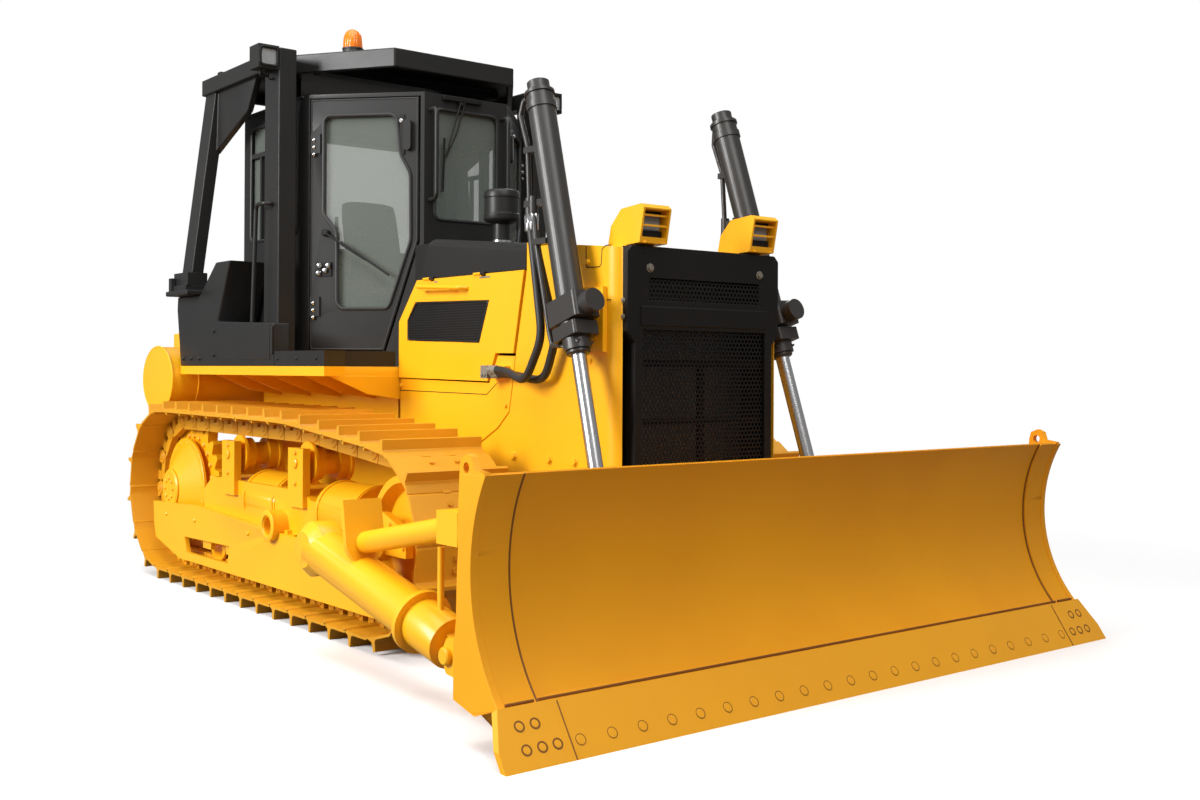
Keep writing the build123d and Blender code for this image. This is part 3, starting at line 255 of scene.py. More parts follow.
# ---------------------------------------------------------------- shapes
# Drawn in millimetres in the row frame, on the machine's right side, where Y is negative.
def plane_at(origin, along, up):
    """A drawing plane: u runs along, v up, and w out of it."""
    along, up = Vector(along).normalized(), Vector(up).normalized()
    turn = Matrix((along, up, along.cross(up))).transposed().to_4x4()
    return Matrix.Translation(Vector(origin)) @ turn


def facing_side(x, y, z):
    """A plane at a point that faces out to the right: u forwards, v up."""
    return plane_at((x, y, z), (1, 0, 0), (0, 0, 1))


def facing_front(x, y, z):
    """A plane at a point that faces forwards: u to the left, v up."""
    return plane_at((x, y, z), (0, 1, 0), (0, 0, 1))


def facing_up(x, y, z):
    """A level plane at a point: u forwards, v to the left."""
    return plane_at((x, y, z), (1, 0, 0), (0, 1, 0))


def side_at(y):
    """The plane that faces out to the right, that far from the middle."""
    return facing_side(0, -y, 0)


def front_at(x):
    return facing_front(x, 0, 0)


def top_at(z):
    return facing_up(0, 0, z)


def circle(count):
    """Evenly spaced angles, once around."""
    return [math.tau * k / count for k in range(count)]


def around(place, radius, angle, height):
    """The point at a radius and an angle about a plane's w axis."""
    return place @ Vector((radius * math.cos(angle), radius * math.sin(angle), height))


def box_outline(u, v):
    return [(u[0], v[0]), (u[1], v[0]), (u[1], v[1]), (u[0], v[1])]


def rounded(points, bend, closed=False, steps=5):
    """A line with its corners rounded."""
    corners = [Vector(p) for p in points]
    path = []
    for i, corner in enumerate(corners):
        if not closed and i in (0, len(corners) - 1):
            path.append(corner)
            continue
        before, after = corners[i - 1], corners[(i + 1) % len(corners)]
        reach = min(bend, (before - corner).length * 0.45, (after - corner).length * 0.45)
        start = corner + (before - corner).normalized() * reach
        end = corner + (after - corner).normalized() * reach
        for k in range(steps + 1):
            t = k / steps
            path.append(start.lerp(corner, t).lerp(corner.lerp(end, t), t))
    return path


class Shape:
    """Closed solids gathered into one mesh."""

    def __init__(self):
        self.work = bmesh.new()

    def skin(self, rings, looped=False):
        """Joins rings of points, and closes the ends or joins the last to the first."""
        made = [[self.work.verts.new(p) for p in ring] for ring in rings]
        count = len(made[0])
        pairs = list(zip(made, made[1:]))
        if looped:
            pairs.append((made[-1], made[0]))
        for near, far in pairs:
            for i in range(count):
                j = (i + 1) % count
                self.work.faces.new((near[i], near[j], far[j], far[i]))
        if not looped:
            self.work.faces.new(made[0][::-1])
            self.work.faces.new(made[-1])
        return self

    def prism(self, place, outline, low, high):
        """A slab of an outline between two heights over its plane."""
        return self.skin([[place @ Vector((u, v, w)) for u, v in outline] for w in (low, high)])

    def box(self, x, y, z):
        return self.prism(top_at(0), box_outline(x, y), *z)

    def lathe(self, place, profile, sides=32):
        """A solid turned about w, from (radius, height) points; its ends are flat."""
        return self.skin([[around(place, r, a, h) for a in circle(sides)] for r, h in profile])

    def collar(self, place, profile, sides=32):
        """A ring turned about w from a closed (radius, height) section."""
        rings = [[around(place, r, a, h) for r, h in profile] for a in circle(sides)]
        return self.skin(rings, looped=True)

    def tube(self, points, radius, bend=0.0, sides=10, closed=False):
        """A round bar along a line."""
        path = rounded(points, bend, closed) if bend else [Vector(p) for p in points]
        count = len(path)
        rings = []
        normal = None
        for i, point in enumerate(path):
            ahead = path[(i + 1) % count] if closed or i + 1 < count else point
            behind = path[i - 1] if closed or i else point
            along = (ahead - behind).normalized()
            normal = along.orthogonal() if normal is None else normal - along * normal.dot(along)
            normal.normalize()
            other = along.cross(normal)
            rings.append([
                point + (normal * math.cos(a) + other * math.sin(a)) * radius
                for a in circle(sides)])
        return self.skin(rings, closed)

    def bead(self, place, outline, radius, bend):
        """A round bead that follows a closed outline on a plane."""
        points = [place @ Vector((u, v, 0)) for u, v in outline]
        return self.tube(points, radius, bend, 8, closed=True)

    def mesh(self, name, hand="right", scale=0.001):
        """The finished mesh, in metres, for the right, the left or both."""
        if hand != "right":
            drawn = self.work.verts[:] + self.work.edges[:] + self.work.faces[:]
            if hand == "both":
                drawn = bmesh.ops.duplicate(self.work, geom=drawn)["geom"]
            for part in drawn:
                if isinstance(part, bmesh.types.BMVert):
                    part.co.y = -part.co.y
        bmesh.ops.recalc_face_normals(self.work, faces=self.work.faces)
        bmesh.ops.scale(self.work, vec=(scale, scale, scale), verts=self.work.verts)
        mesh = bpy.data.meshes.new(name)
        self.work.to_mesh(mesh)
        self.work.free()
        return mesh

    def piece(self, name, slot, body="chassis", hand="both", ease=0.0):
        return finished(name, self.mesh(name, hand), body, slot, ease)


def shaded(mesh, angle=sharp_angle):
    """Smooth faces, with a hard line where they meet at more than an angle in degrees."""
    mesh.polygons.foreach_set("use_smooth", [True] * len(mesh.polygons))
    mesh.set_sharp_from_angle(angle=math.radians(angle))


def finished(name, mesh, body, slot, ease=0.0):
    """A piece from a mesh, with its sharp edges eased by a width in metres."""
    shaded(mesh)
    piece = bpy.data.objects.new(name, mesh)
    collection.objects.link(piece)
    mesh.materials.clear()
    mesh.materials.append(finishes[slot])
    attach(piece, body)
    if ease:
        bevel = piece.modifiers.new("eased_edges", "BEVEL")
        bevel.width = ease
        bevel.segments = 2
        bevel.limit_method = "ANGLE"
        bevel.angle_limit = math.radians(sharp_angle)
        bevel.harden_normals = True
    return piece


def baked(obj):
    """The plain mesh of an object with its modifiers, which is then thrown away."""
    graph = bpy.context.evaluated_depsgraph_get()
    mesh = bpy.data.meshes.new_from_object(obj.evaluated_get(graph), depsgraph=graph)
    bpy.data.objects.remove(obj)
    return mesh


def carved(mesh, *cutters):
    """A mesh with others cut out of it."""
    body = bpy.data.objects.new("carved", mesh)
    collection.objects.link(body)
    tools = []
    for cutter in cutters:
        tool = bpy.data.objects.new("cutter", cutter)
        collection.objects.link(tool)
        tools.append(tool)
        cut = body.modifiers.new("cut", "BOOLEAN")
        cut.operation = "DIFFERENCE"
        cut.solver = "EXACT"
        cut.object = tool
    made = baked(body)
    for tool in tools:
        bpy.data.objects.remove(tool)
    return made


# ---------------------------------------------------------------- repeated parts
def repeat_tree():
    """Geometry nodes: a part on every point, with the point's turn and size."""
    tree = bpy.data.node_groups.new("repeat", "GeometryNodeTree")
    for name, kind in (
        ("Geometry", "NodeSocketGeometry"), ("Part", "NodeSocketObject"),
        ("Finish", "NodeSocketMaterial"), ("Weld", "NodeSocketFloat"),
    ):
        tree.interface.new_socket(name, in_out="INPUT", socket_type=kind)
    tree.interface.new_socket("Geometry", in_out="OUTPUT", socket_type="NodeSocketGeometry")

    def add(kind, **settings):
        made = tree.nodes.new(kind)
        for key, value in settings.items():
            setattr(made, key, value)
        return made

    given = add("NodeGroupInput")
    part = add("GeometryNodeObjectInfo")
    turn = add("GeometryNodeInputNamedAttribute", data_type="FLOAT_VECTOR")
    turn.inputs["Name"].default_value = "turn"
    size = add("GeometryNodeInputNamedAttribute", data_type="FLOAT")
    size.inputs["Name"].default_value = "size"
    rotation = add("FunctionNodeEulerToRotation")
    spread = add("GeometryNodeInstanceOnPoints")
    real = add("GeometryNodeRealizeInstances")
    weld = add("GeometryNodeMergeByDistance")
    finish = add("GeometryNodeSetMaterial")
    out = add("NodeGroupOutput")
    for start, end in (
        (given.outputs["Part"], part.inputs["Object"]),
        (given.outputs["Geometry"], spread.inputs["Points"]),
        (part.outputs["Geometry"], spread.inputs["Instance"]),
        (turn.outputs["Attribute"], rotation.inputs["Euler"]),
        (rotation.outputs["Rotation"], spread.inputs["Rotation"]),
        (size.outputs["Attribute"], spread.inputs["Scale"]),
        (spread.outputs["Instances"], real.inputs["Geometry"]),
        (real.outputs["Geometry"], weld.inputs["Geometry"]),
        (given.outputs["Weld"], weld.inputs["Distance"]),
        (weld.outputs["Geometry"], finish.inputs["Geometry"]),
        (given.outputs["Finish"], finish.inputs["Material"]),
        (finish.outputs["Geometry"], out.inputs["Geometry"]),
    ):
        tree.links.new(start, end)
    return tree


def repeated(name, part, spots, slot, body="chassis", weld=0.0):
    """A piece made of a part at many spots: (place in metres, turn, size)."""
    points = bpy.data.meshes.new(name + "_points")
    points.from_pydata([place for place, _, _ in spots], [], [])
    turns = points.attributes.new("turn", "FLOAT_VECTOR", "POINT")
    turns.data.foreach_set("vector", [a for _, turn, _ in spots for a in turn])
    sizes = points.attributes.new("size", "FLOAT", "POINT")
    sizes.data.foreach_set("value", [size for _, _, size in spots])
    carrier = bpy.data.objects.new(name + "_points", points)
    source = bpy.data.objects.new(name + "_part", part)
    for obj in (carrier, source):
        collection.objects.link(obj)
    modifier = carrier.modifiers.new("repeat", "NODES")
    modifier.node_group = repeats
    values = {"Part": source, "Finish": finishes[slot], "Weld": weld}
    for item in repeats.interface.items_tree:
        if item.in_out == "INPUT" and item.name in values:
            modifier[item.identifier] = values[item.name]
    mesh = baked(carrier)
    bpy.data.objects.remove(source)
    return finished(name, mesh, body, slot)


def hex_head():
    """A hexagon head on its washer, of unit radius, standing on w = 0."""
    shape = Shape()
    flat = top_at(0)
    shape.lathe(flat, [(1.32, -0.1), (1.32, 0.14), (1.24, 0.2)], 20)
    shape.lathe(flat, [(1.0, 0.1), (1.0, 0.66), (0.84, 0.8)], 6)
    return shape.mesh("hex_head", scale=1.0)


def flush_head():
    """The flush head of a plough bolt, of unit radius."""
    shape = Shape()
    shape.lathe(top_at(0), [(1.0, -0.1), (1.0, 0.05), (0.93, 0.11)], 24)
    return shape.mesh("flush_head", scale=1.0)


def spots_on(place, radius, points, sides=(1, -1), out=1):
    """Spots in metres on a plane, for parts of a radius in millimetres.

    They are on the right (1), on the left (-1) or on both, and the parts face out of
    the plane (1) or into it (-1).
    """
    spots = []
    facing = place.to_3x3() @ Vector((0, 0, out))
    for u, v in points:
        where = place @ Vector((u, v, 0)) * 0.001
        for side in sides:
            way = Vector((facing.x, side * facing.y, facing.z))
            spots.append((
                Vector((where.x, side * where.y, where.z)),
                way.to_track_quat("Z", "Y").to_euler(), radius * 0.001))
    return spots


def bolted(name, slot, *rows):
    """Hexagon bolts on the chassis, from rows of a plane, a radius, points and sides."""
    repeated(name, hex_head(), [spot for row in rows for spot in spots_on(*row)], slot)


def ring_of(centre, radius, count, start=0.0):
    """Points around a circle."""
    return [(centre[0] + radius * math.cos(start + math.tau * k / count),
             centre[1] + radius * math.sin(start + math.tau * k / count)) for k in range(count)]


def within(outline, u, v, margin):
    """Whether a point lies inside a convex outline, clear of its edges."""
    count = len(outline)
    turns = []
    for i in range(count):
        a, b = Vector(outline[i]), Vector(outline[(i + 1) % count])
        edge = (b - a).normalized()
        turns.append(edge.x * (v - a.y) - edge.y * (u - a.x))
    return all(t > margin for t in turns) or all(t < -margin for t in turns)


def screen(name, place, outline, pitch, hole, thickness, slot, body="chassis", hand="right"):
    """A sheet with staggered six-sided holes, filling a convex outline on a plane."""
    corner = pitch / math.sqrt(3.0)
    cell = Shape()
    angles = [math.tau * (k + 0.5) / 6 for k in range(6)]
    rims = [[Vector((r * math.cos(a), r * math.sin(a), h)) for r, h in (
        (corner, 0), (hole, 0), (hole, -thickness), (corner, -thickness))] for a in angles]
    cell.skin(rims, True)
    # the walls on which neighbouring cells meet
    shared = [face for face in cell.work.faces
              if all(abs(vert.co.xy.length - corner) < 0.01 for vert in face.verts)]
    for face in shared:
        cell.work.faces.remove(face)
    low = [min(p[i] for p in outline) for i in (0, 1)]
    high = [max(p[i] for p in outline) for i in (0, 1)]
    spots = []
    rows = int((high[1] - low[1]) / (1.5 * corner)) + 1
    for row in range(rows):
        for column in range(int((high[0] - low[0]) / pitch) + 1):
            u = low[0] + pitch * (column + 0.5 * (row % 2))
            v = low[1] + 1.5 * corner * row
            if within(outline, u, v, -0.3 * pitch):
                spots.append((Vector((u, v, 0)) * 0.001, (0, 0, 0), 1.0))
    piece = repeated(name, cell.mesh("cell"), spots, slot, body, cell_weld)
    turn = Matrix.Scale(0.001, 4) @ place @ Matrix.Scale(1000.0, 4)
    if hand == "left":
        turn = Matrix.Scale(-1, 4, (0, 1, 0)) @ turn
    piece.data.transform(turn)
    if hand == "left":
        piece.data.flip_normals()
    return piece


# ---------------------------------------------------------------- sizes, in millimetres
engine_side = 490.0             # outer face of the engine's sides
door_face = 500.0               # outer face of the engine doors
mask_face = 1628.0
track_y = 940.0
shoe_half = 255.0
shoe_count = 38
sprocket_axis = (-1909.0, 529.5)
sprocket_pins = 408.5
idler_axis = (741.0, 483.0)
idler_pins = 362.0
carrier_crest = (-189.0, 929.0)
carriers = ((-1039.0, 780.0), (-189.0, 780.0))
rail_offset = 65.0
cab_front_x = -375.0
cab_half = 740.0
cab_rear_x = -1715.0
hinge_corner = (-882.0, -724.0)     # rear end of the right cab door's plane
front_corner = (-375.0, -272.0)
door_window = [
    (96, 2640), (119, 2664), (494, 2664), (523, 2635), (542, 2442), (600, 2335), (604, 1965),
    (485, 1610), (464, 1587), (204, 1587), (177, 1615), (174, 2014), (96, 2115)]
side_windows = (((-1610, -1330), (2010, 2690)), ((-1290, -975), (2010, 2690)))
cylinder_top = Vector((1118.0, -563.0, 2540.0))
cylinder_low = Vector((1646.0, -635.0, 850.0))
headlamp_y = 327                # from the middle to each headlamp
edge_run, edge_rise = 121, 175  # the cutting edge's face, forwards and up
strip_start = 1482              # where the blade's wear strips begin, either side of the middle
blade_end = 1641                # the outer face of each end plate
bit_seam = 1419                 # the joint between the cutting edge and its end bits
hands = ("right", "left")


def door_at(proud=0.0):
    """The right cab door's plane: u forwards from the hinge, v up."""
    run = (Vector((*front_corner, 0)) - Vector((*hinge_corner, 0))).normalized()
    out = run.cross(Vector((0, 0, 1)))
    return plane_at(Vector((*hinge_corner, 0)) + out * proud, run, (0, 0, 1))


def cylinder_at(z):
    """A plane across the right lift cylinder where its axis is at height z, facing down it."""
    run = cylinder_low - cylinder_top
    share = (cylinder_top.z - z) / (cylinder_top.z - cylinder_low.z)
    axis = run.normalized()
    along = Vector((0, 1, 0)).cross(axis).normalized()
    return plane_at(cylinder_top + run * share, along, axis.cross(along))


# ---------------------------------------------------------------- tracks
def touch(point, centre, radius, turn):
    """The angle at which a straight run from a point meets a wheel."""
    dx, dz = point[0] - centre[0], point[1] - centre[1]
    return math.atan2(dz, dx) + turn * math.acos(radius / math.hypot(dx, dz))


def arc(centre, radius, start, end, steps=90):
    return [Vector((centre[0] + radius * math.cos(a), centre[1] + radius * math.sin(a)))
            for a in (start + (end - start) * k / steps for k in range(steps + 1))]


def chain_links():
    """For every link: its rear pin, its direction and its length, in X and Z."""
    quarter = math.pi / 2
    leaves = touch(carrier_crest, idler_axis, idler_pins, -1)
    meets = touch(carrier_crest, sprocket_axis, sprocket_pins, 1)
    line = (
        arc(idler_axis, idler_pins, -quarter, leaves)
        + [Vector(carrier_crest)]
        + arc(sprocket_axis, sprocket_pins, meets, 3 * quarter))
    line = [line[-1]] + line
    lengths = [(b - a).length for a, b in zip(line, line[1:])]
    whole = sum(lengths)
    pins = []
    for k in range(shoe_count):
        left = whole * k / shoe_count
        for a, b, length in zip(line, line[1:], lengths):
            if left <= length:
                pins.append(a.lerp(b, left / length))
                break
            left -= length
    ahead = pins[1:] + pins[:1]
    return [
        (here, (there - here).normalized(), (there - here).length)
        for here, there in zip(pins, ahead)]


def make_tracks():
    """Grouser shoes with their bolts, on link rails with bosses and pins."""
    links = chain_links()
    pitch = min(length for _, _, length in links)
    shape = Shape()
    # the shoe: a bent front lip, a plate, and the grouser with its filleted foot
    shape.prism(side_at(-shoe_half), [
        (-26, 38), (4, 52), (22, 54), (pitch - 18, 54), (pitch - 6, 50), (pitch - 1, 44),
        (pitch + 3, 50), (pitch - 6, 62), (pitch - 18, 66), (66, 66), (54, 70), (47, 80),
        (42, 119), (26, 119), (20, 76), (10, 66), (4, 66), (-26, 48)], 0, 2 * shoe_half)
    # the link's bars: along it, up it
    bars = (
        ((-44, pitch - 48), (-53, 2)), ((-38, 42), (0, 54)), ((pitch - 106, pitch - 50), (0, 54)))
    for side in (-1, 1):
        y = side * rail_offset
        for x, z in bars:
            shape.box(x, (y - 20, y + 20), z)
        shape.lathe(side_at(-y - 26), [(39, 0), (42, 4), (42, 48), (39, 52)], 20)
        shape.lathe(side_at(-y - 31), [(17, 0), (20, 4), (20, 58), (17, 62)], 16)
        for x in (92, 148):
            shape.prism(facing_up(x, y, 66), ring_of((0, 0), 14, 6), -1, 9)
    link = shape.mesh("link")
    spots = []
    for here, along, _ in links:
        forward = Vector((along.x, 0, along.y))
        outward = Vector((along.y, 0, -along.x))
        turn = Matrix((forward, outward.cross(forward), outward)).transposed().to_euler()
        spots.append((Vector((here.x, -track_y, here.y)) * 0.001, turn, 1.0))
    for hand in hands:
        placed = [
            (Vector((p.x, -p.y if hand == "left" else p.y, p.z)), turn, size)
            for p, turn, size in spots]
        track = repeated(f"track_chain_{hand}", link.copy(), placed, "yellow_track")
        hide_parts(f"track_{hand}")


def dress_running_gear():
    """Bolts, caps and covers on the wheels and track frames."""
    bolted(
        "running_gear_bolts", "yellow_paint",
        (side_at(track_y + 30), 15, ring_of(sprocket_axis, 312, 25)),
        (side_at(1014), 11, ring_of(sprocket_axis, 272, 18, 0.1)),
        (side_at(1118), 11, ring_of(sprocket_axis, 62, 8)),
        (side_at(1109), 13, [(x, z + rise) for x, z in carriers for rise in (52, -100)]),
        (side_at(1135), 11, [(x, 380) for x in (-1900, -1450, -700, -100, 480)]),
        (side_at(1100), 12, [(880, 470), (880, 520), (760, 470), (760, 560)]))

    caps = Shape()
    hub = Matrix.Translation((*sprocket_axis, 0))
    caps.lathe(side_at(1098) @ hub, [(118, 0), (118, 12), (108, 20), (30, 20)], 40)
    caps.collar(side_at(1003) @ hub, [(258, 0), (300, 0), (300, 14), (294, 18), (262, 18)], 48)
    for x, z in carriers:
        caps.lathe(facing_side(x, -1109, z), [(26, -2), (26, 7), (20, 11)], 20)
        # the shaft's collar, between the post and the roller
        caps.lathe(facing_side(x, -1069, z), [(62, -6), (62, 4), (56, 8)], 24)
    # the rim of the track frame's open boss
    caps.collar(facing_side(-391, -1160, 452), [(50, 0), (80, 0), (80, 8), (72, 12), (54, 12)])
    caps.piece("running_gear_caps", "yellow_paint", ease=0.001)

    straps = Shape()
    for x in (-880, -520, 0, 350):
        band = [(149, 0), (156, 0), (156, 22), (149, 22)]
        straps.collar(facing_front(x, -track_y, 545), band, 40)
    straps.piece("spring_cover_bands", "yellow_paint", ease=0.001)


# ---------------------------------------------------------------- engine bay
def make_mask():
    """The black front mask with its two perforated screens and the rails behind them."""
    outline = [
        (-412, 560), (412, 560), (412, 1370), (455, 1420), (455, 1760),
        (430, 1786), (-430, 1786), (-455, 1760), (-455, 1420), (-412, 1370)]
    openings = (box_outline((-367, 367), (605, 1425)), box_outline((-330, 330), (1556, 1650)))
    cutters = [Shape().prism(front_at(1500), o, 0, 200).mesh("cutter") for o in openings]
    hollow = Shape().prism(front_at(1500), box_outline((-392, 392), (580, 1756)), 0, 112)
    plate = Shape().prism(front_at(1560), outline, 0, 68)
    shell = carved(plate.mesh("mask"), *cutters, hollow.mesh("cutter"))
    mask = finished("front_mask", shell, "chassis", "mask_black", 0.004)
    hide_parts("mask")
    screen("mask_screen", front_at(1614), openings[0], 22.0, 8.8, 3.0, "mask_black")
    screen("mask_strip", front_at(mask_face - 1), openings[1], 22.0, 8.0, 3.0, "mask_black")
    rails = Shape()
    for z in (1010, 1268):
        rails.box((1578, 1602), (-392, 392), (z, z + 30))
    rails.box((1578, 1600), (-16, 16), (580, 1268))
    rails.box((1578, 1602), (-392, 392), (1592, 1606))
    # the folded band between the two screens
    rails.prism(side_at(-380), [(1627, 1440), (1632, 1446), (1632, 1524), (1627, 1530)], 0, 760)
    # baffles that close the gaps beside the radiator
    for y in (-391, 384):
        rails.box((1452, 1576), (y, y + 7), (575, 1756))
    rails.piece("mask_rails", "mask_black", hand="right", ease=0.001)
    bolted(
        "mask_bolts", "engine_iron",
        (front_at(mask_face), 15, [(-330, 1692), (330, 1692)], (1,)),
        (side_at(455), 9, [(1600, 1550), (1600, 1480)]))


def dress_nose():
    """Seams and bolts of the nose and the engine's sides."""
    seams = Shape()
    for line in (
        [(1385, 1792), (1385, 1706), (1392, 1700), (1480, 1697), (1492, 1706), (1498, 1772)],
        [(1498, 1772), (1520, 1786), (1562, 1786)],
        [(1385, 1558), (1560, 1552)],
    ):
        seams.tube([(x, -engine_side, z) for x, z in line], 2.2, 12, 6)
    for line in ([(-238, 1140), (600, 1132)], [(690, 1188), (600, 1132)]):
        seams.tube([(x, -engine_side, z) for x, z in line], 2.0, 6, 6)
    seams.piece("nose_seams", "mask_black")

    bolted(
        "nose_bolts", "yellow_paint",
        (side_at(engine_side), 17, [(837, 846), (1118, 845), (1310, 845)]),
        (side_at(engine_side), 11, [
            (765, 1081), (1397, 1722), (1420, 1290), (-225, 1165), (-225, 900)]))


def dress_engine_doors():
    """Each door's handle, slots and grille, and the latch plate and locks on the engine's side."""
    plates = Shape()
    plates.prism(side_at(engine_side), box_outline((163, 230), (1228, 1336)), -1, 4)
    plates.piece("latch_plates", "yellow_paint", ease=0.001)
    bar = [(10, -499, 1678), (26, -546, 1676), (424, -546, 1654), (440, -499, 1652)]
    for hand in hands:
        handle = Shape().tube(bar, 10, 18)
        handle.piece(f"door_handle_{hand}", "yellow_paint", f"engine_door_{hand}_body", hand)
    locks = Shape()
    locks.prism(side_at(engine_side + 4), box_outline((178, 214), (1300, 1328)), -1, 1)
    for z in (1246, 1282):
        locks.lathe(facing_side(196, -engine_side - 4, z), [(9, -1), (9, 3), (7, 4)], 16)
    locks.piece("latches", "engine_iron")
    grille = [(-62, 1596), (620, 1581), (540, 1388), (-144, 1408), (-144, 1508)]
    for hand in hands:
        body = f"engine_door_{hand}_body"
        slots = Shape()
        for x in ((122, 152), (548, 640)):
            slots.prism(side_at(door_face), box_outline(x, (1694, 1702)), -1, 1)
        slots.piece(f"door_slots_{hand}", "engine_iron", body, hand)
        frame_bead = Shape().bead(side_at(door_face - 3), grille, 5, 14)
        frame_bead.piece(f"grille_frame_{hand}", "black_paint", body, hand)
        screen(
            f"grille_{hand}", side_at(door_face - 3), grille, 15.0, 5.4, 2.0, "black_paint",
            body, hand)
        # a dark sheet behind the grille: painted shade of the engine bay seen through its holes
        back = Shape().prism(side_at(door_face - 6), grille, 0.2, 0.6)
        back.piece(f"grille_back_{hand}", "mask_black", body, hand)


def make_headlamps():
    """A black lamp body with a clear lens in each hood."""
    bodies, lenses = Shape(), Shape()
    for y in (-headlamp_y, headlamp_y):
        bodies.box((1578, 1606), (y - 60, y + 60), (1823, 1934))
        bodies.box((1606, 1628), (y - 60, y + 60), (1823, 1852))
        bodies.box((1606, 1628), (y - 60, y + 60), (1922, 1934))
        lenses.prism(facing_front(1606, y, 1887), [
            (-54, -28), (-46, -34), (46, -34), (54, -28),
            (54, 28), (46, 34), (-46, 34), (-54, 28)], 0, 20)
    lamps = bodies.piece("headlamp_bodies", "mask_black", hand="right", ease=0.002)
    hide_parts("headlamps")
    lenses.piece("headlamp_lenses", "lamp_lens", hand="right", ease=0.004)
    feet = [(1650, -headlamp_y - 50), (1650, -headlamp_y + 50)]
    bolted("headlamp_bolts", "yellow_paint", (top_at(1797), 8, feet))


def make_pre_cleaner():
    """The air pre-cleaner on its pipe through the cowl."""
    base = facing_up(-15, 0, 1918)
    body = Shape().lathe(base, [
        (48, 0), (48, 120), (60, 128), (84, 134), (96, 144), (98, 150), (98, 176),
        (94, 180), (94, 262), (98, 266), (98, 292), (92, 302), (70, 310), (20, 312)], 48)
    piece = body.piece("pre_cleaner_body", "black_paint", hand="right")
    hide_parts("pre_cleaner")
    clamp = Shape().collar(base, [(47, 12), (52, 12), (52, 34), (47, 34)], 40)
    clamp.piece("pre_cleaner_clamp", "rod_chrome", hand="right")


# ---------------------------------------------------------------- cab
def seal_windows():
    """Gaskets of the cab's windows, the bars across a side window and the fold under the roof."""
    seals = Shape()
    for wall, u, v in (
        (front_at(cab_front_x), (-205, 205), (2085, 2700)),
        (plane_at((cab_rear_x, 0, 0), (0, -1, 0), (0, 0, 1)), (-600, 600), (2010, 2690)),
    ):
        seals.bead(wall, box_outline(u, v), 9, 45)
    seals.piece("window_seals_ends", "hose_rubber", hand="right")
    sides = Shape()
    for u, v in side_windows:
        sides.bead(side_at(cab_half), box_outline(u, v), 9, 45)
    sides.box((-1608, -1332), (-cab_half - 4, -cab_half + 22), (2508, 2534))
    sides.box((-1482, -1462), (-cab_half - 2, -cab_half + 20), (2012, 2508))
    # the folded edge under the roof
    sides.tube([(-1700, -cab_half - 2, 2775), (-905, -cab_half - 2, 2775)], 7)
    sides.piece("window_seals_sides", "hose_rubber")


def make_wiper():
    """The front window's wiper: its motor cover, two arms, blade and rail."""
    wiper = Shape()
    x = cab_front_x
    wiper.lathe(facing_front(x, -38, 2745), [(24, 0), (24, 16), (14, 26)], 20)
    for y in (-52, -24):
        wiper.tube([(x + 20, y, 2745), (x + 26, y - 60, 2560), (x + 20, -148, 2430)], 5, 40, 8)
    lean = plane_at((x + 12, -160, 2390), (0, 1, 0), (0.02, 0.02, 1))
    wiper.prism(lean, box_outline((-6, 6), (-152, 148)), 0, 10)
    wiper.box((x, x + 26), (-160, 90), (2752, 2774))
    wiper.piece("front_wiper", "mask_black", hand="right", ease=0.001)


def dress_doors():
    """Rubber, wiper, plates, studs and hinge bolts of each cab door, which they ride."""
    rubber, bright, dark = Shape(), Shape(), Shape()
    rubber.bead(door_at(), door_window, 10, 26)
    door_edge = [(24, 1363), (446, 1363), (639, 1966), (639, 2751), (24, 2751)]
    rubber.bead(door_at(-2), door_edge, 5, 14)
    dark.lathe(door_at() @ Matrix.Translation((112, 2010, 0)), [(20, 0), (20, 18), (12, 26)], 20)
    arm = door_at(22)
    dark.tube([arm @ Vector(p) for p in ((112, 2010, 0), (240, 1925, 4), (352, 1856, 0))], 6, 30, 8)
    start, end = Vector((205, 1958)), Vector((487, 1770))
    lean = (end - start).normalized()
    across = Vector((-lean.y, lean.x)) * 6
    dark.prism(door_at(14), [start - across, end - across, end + across, start + across], 0, 12)
    dark.prism(door_at(), box_outline((62, 146), (1770, 1848)), 0, 8)
    dark.prism(door_at(), box_outline((538, 566), (2440, 2660)), 0, 6)
    stud = [(15, -1), (15, 8), (11, 14), (3, 17)]
    for u, v in ((78, 1828), (130, 1828), (74, 1786), (112, 1800)):
        bright.lathe(door_at(8) @ Matrix.Translation((u, v, 0)), stud, 20)
    bright.lathe(door_at(26) @ Matrix.Translation((552, 2622, 0)), [(11, -1), (11, 3), (8, 5)], 16)
    bolt = [(11, -1), (11, 4), (7, 9), (2, 11)]
    for middle in (2510, 1600):
        for v in (middle - 40, middle, middle + 40):
            bright.lathe(door_at(10) @ Matrix.Translation((40, v - 22, 0)), bolt, 16)
    sources = (("door_rubber", rubber, "hose_rubber"), ("door_fittings", dark, "mask_black"),
               ("door_bright", bright, "rod_chrome"))
    for name, shape, slot in sources:
        kept = shape.work.copy()
        for hand in hands:
            shape.work = kept.copy()
            shape.piece(f"{name}_{hand}", slot, f"cab_door_{hand}_body", hand)


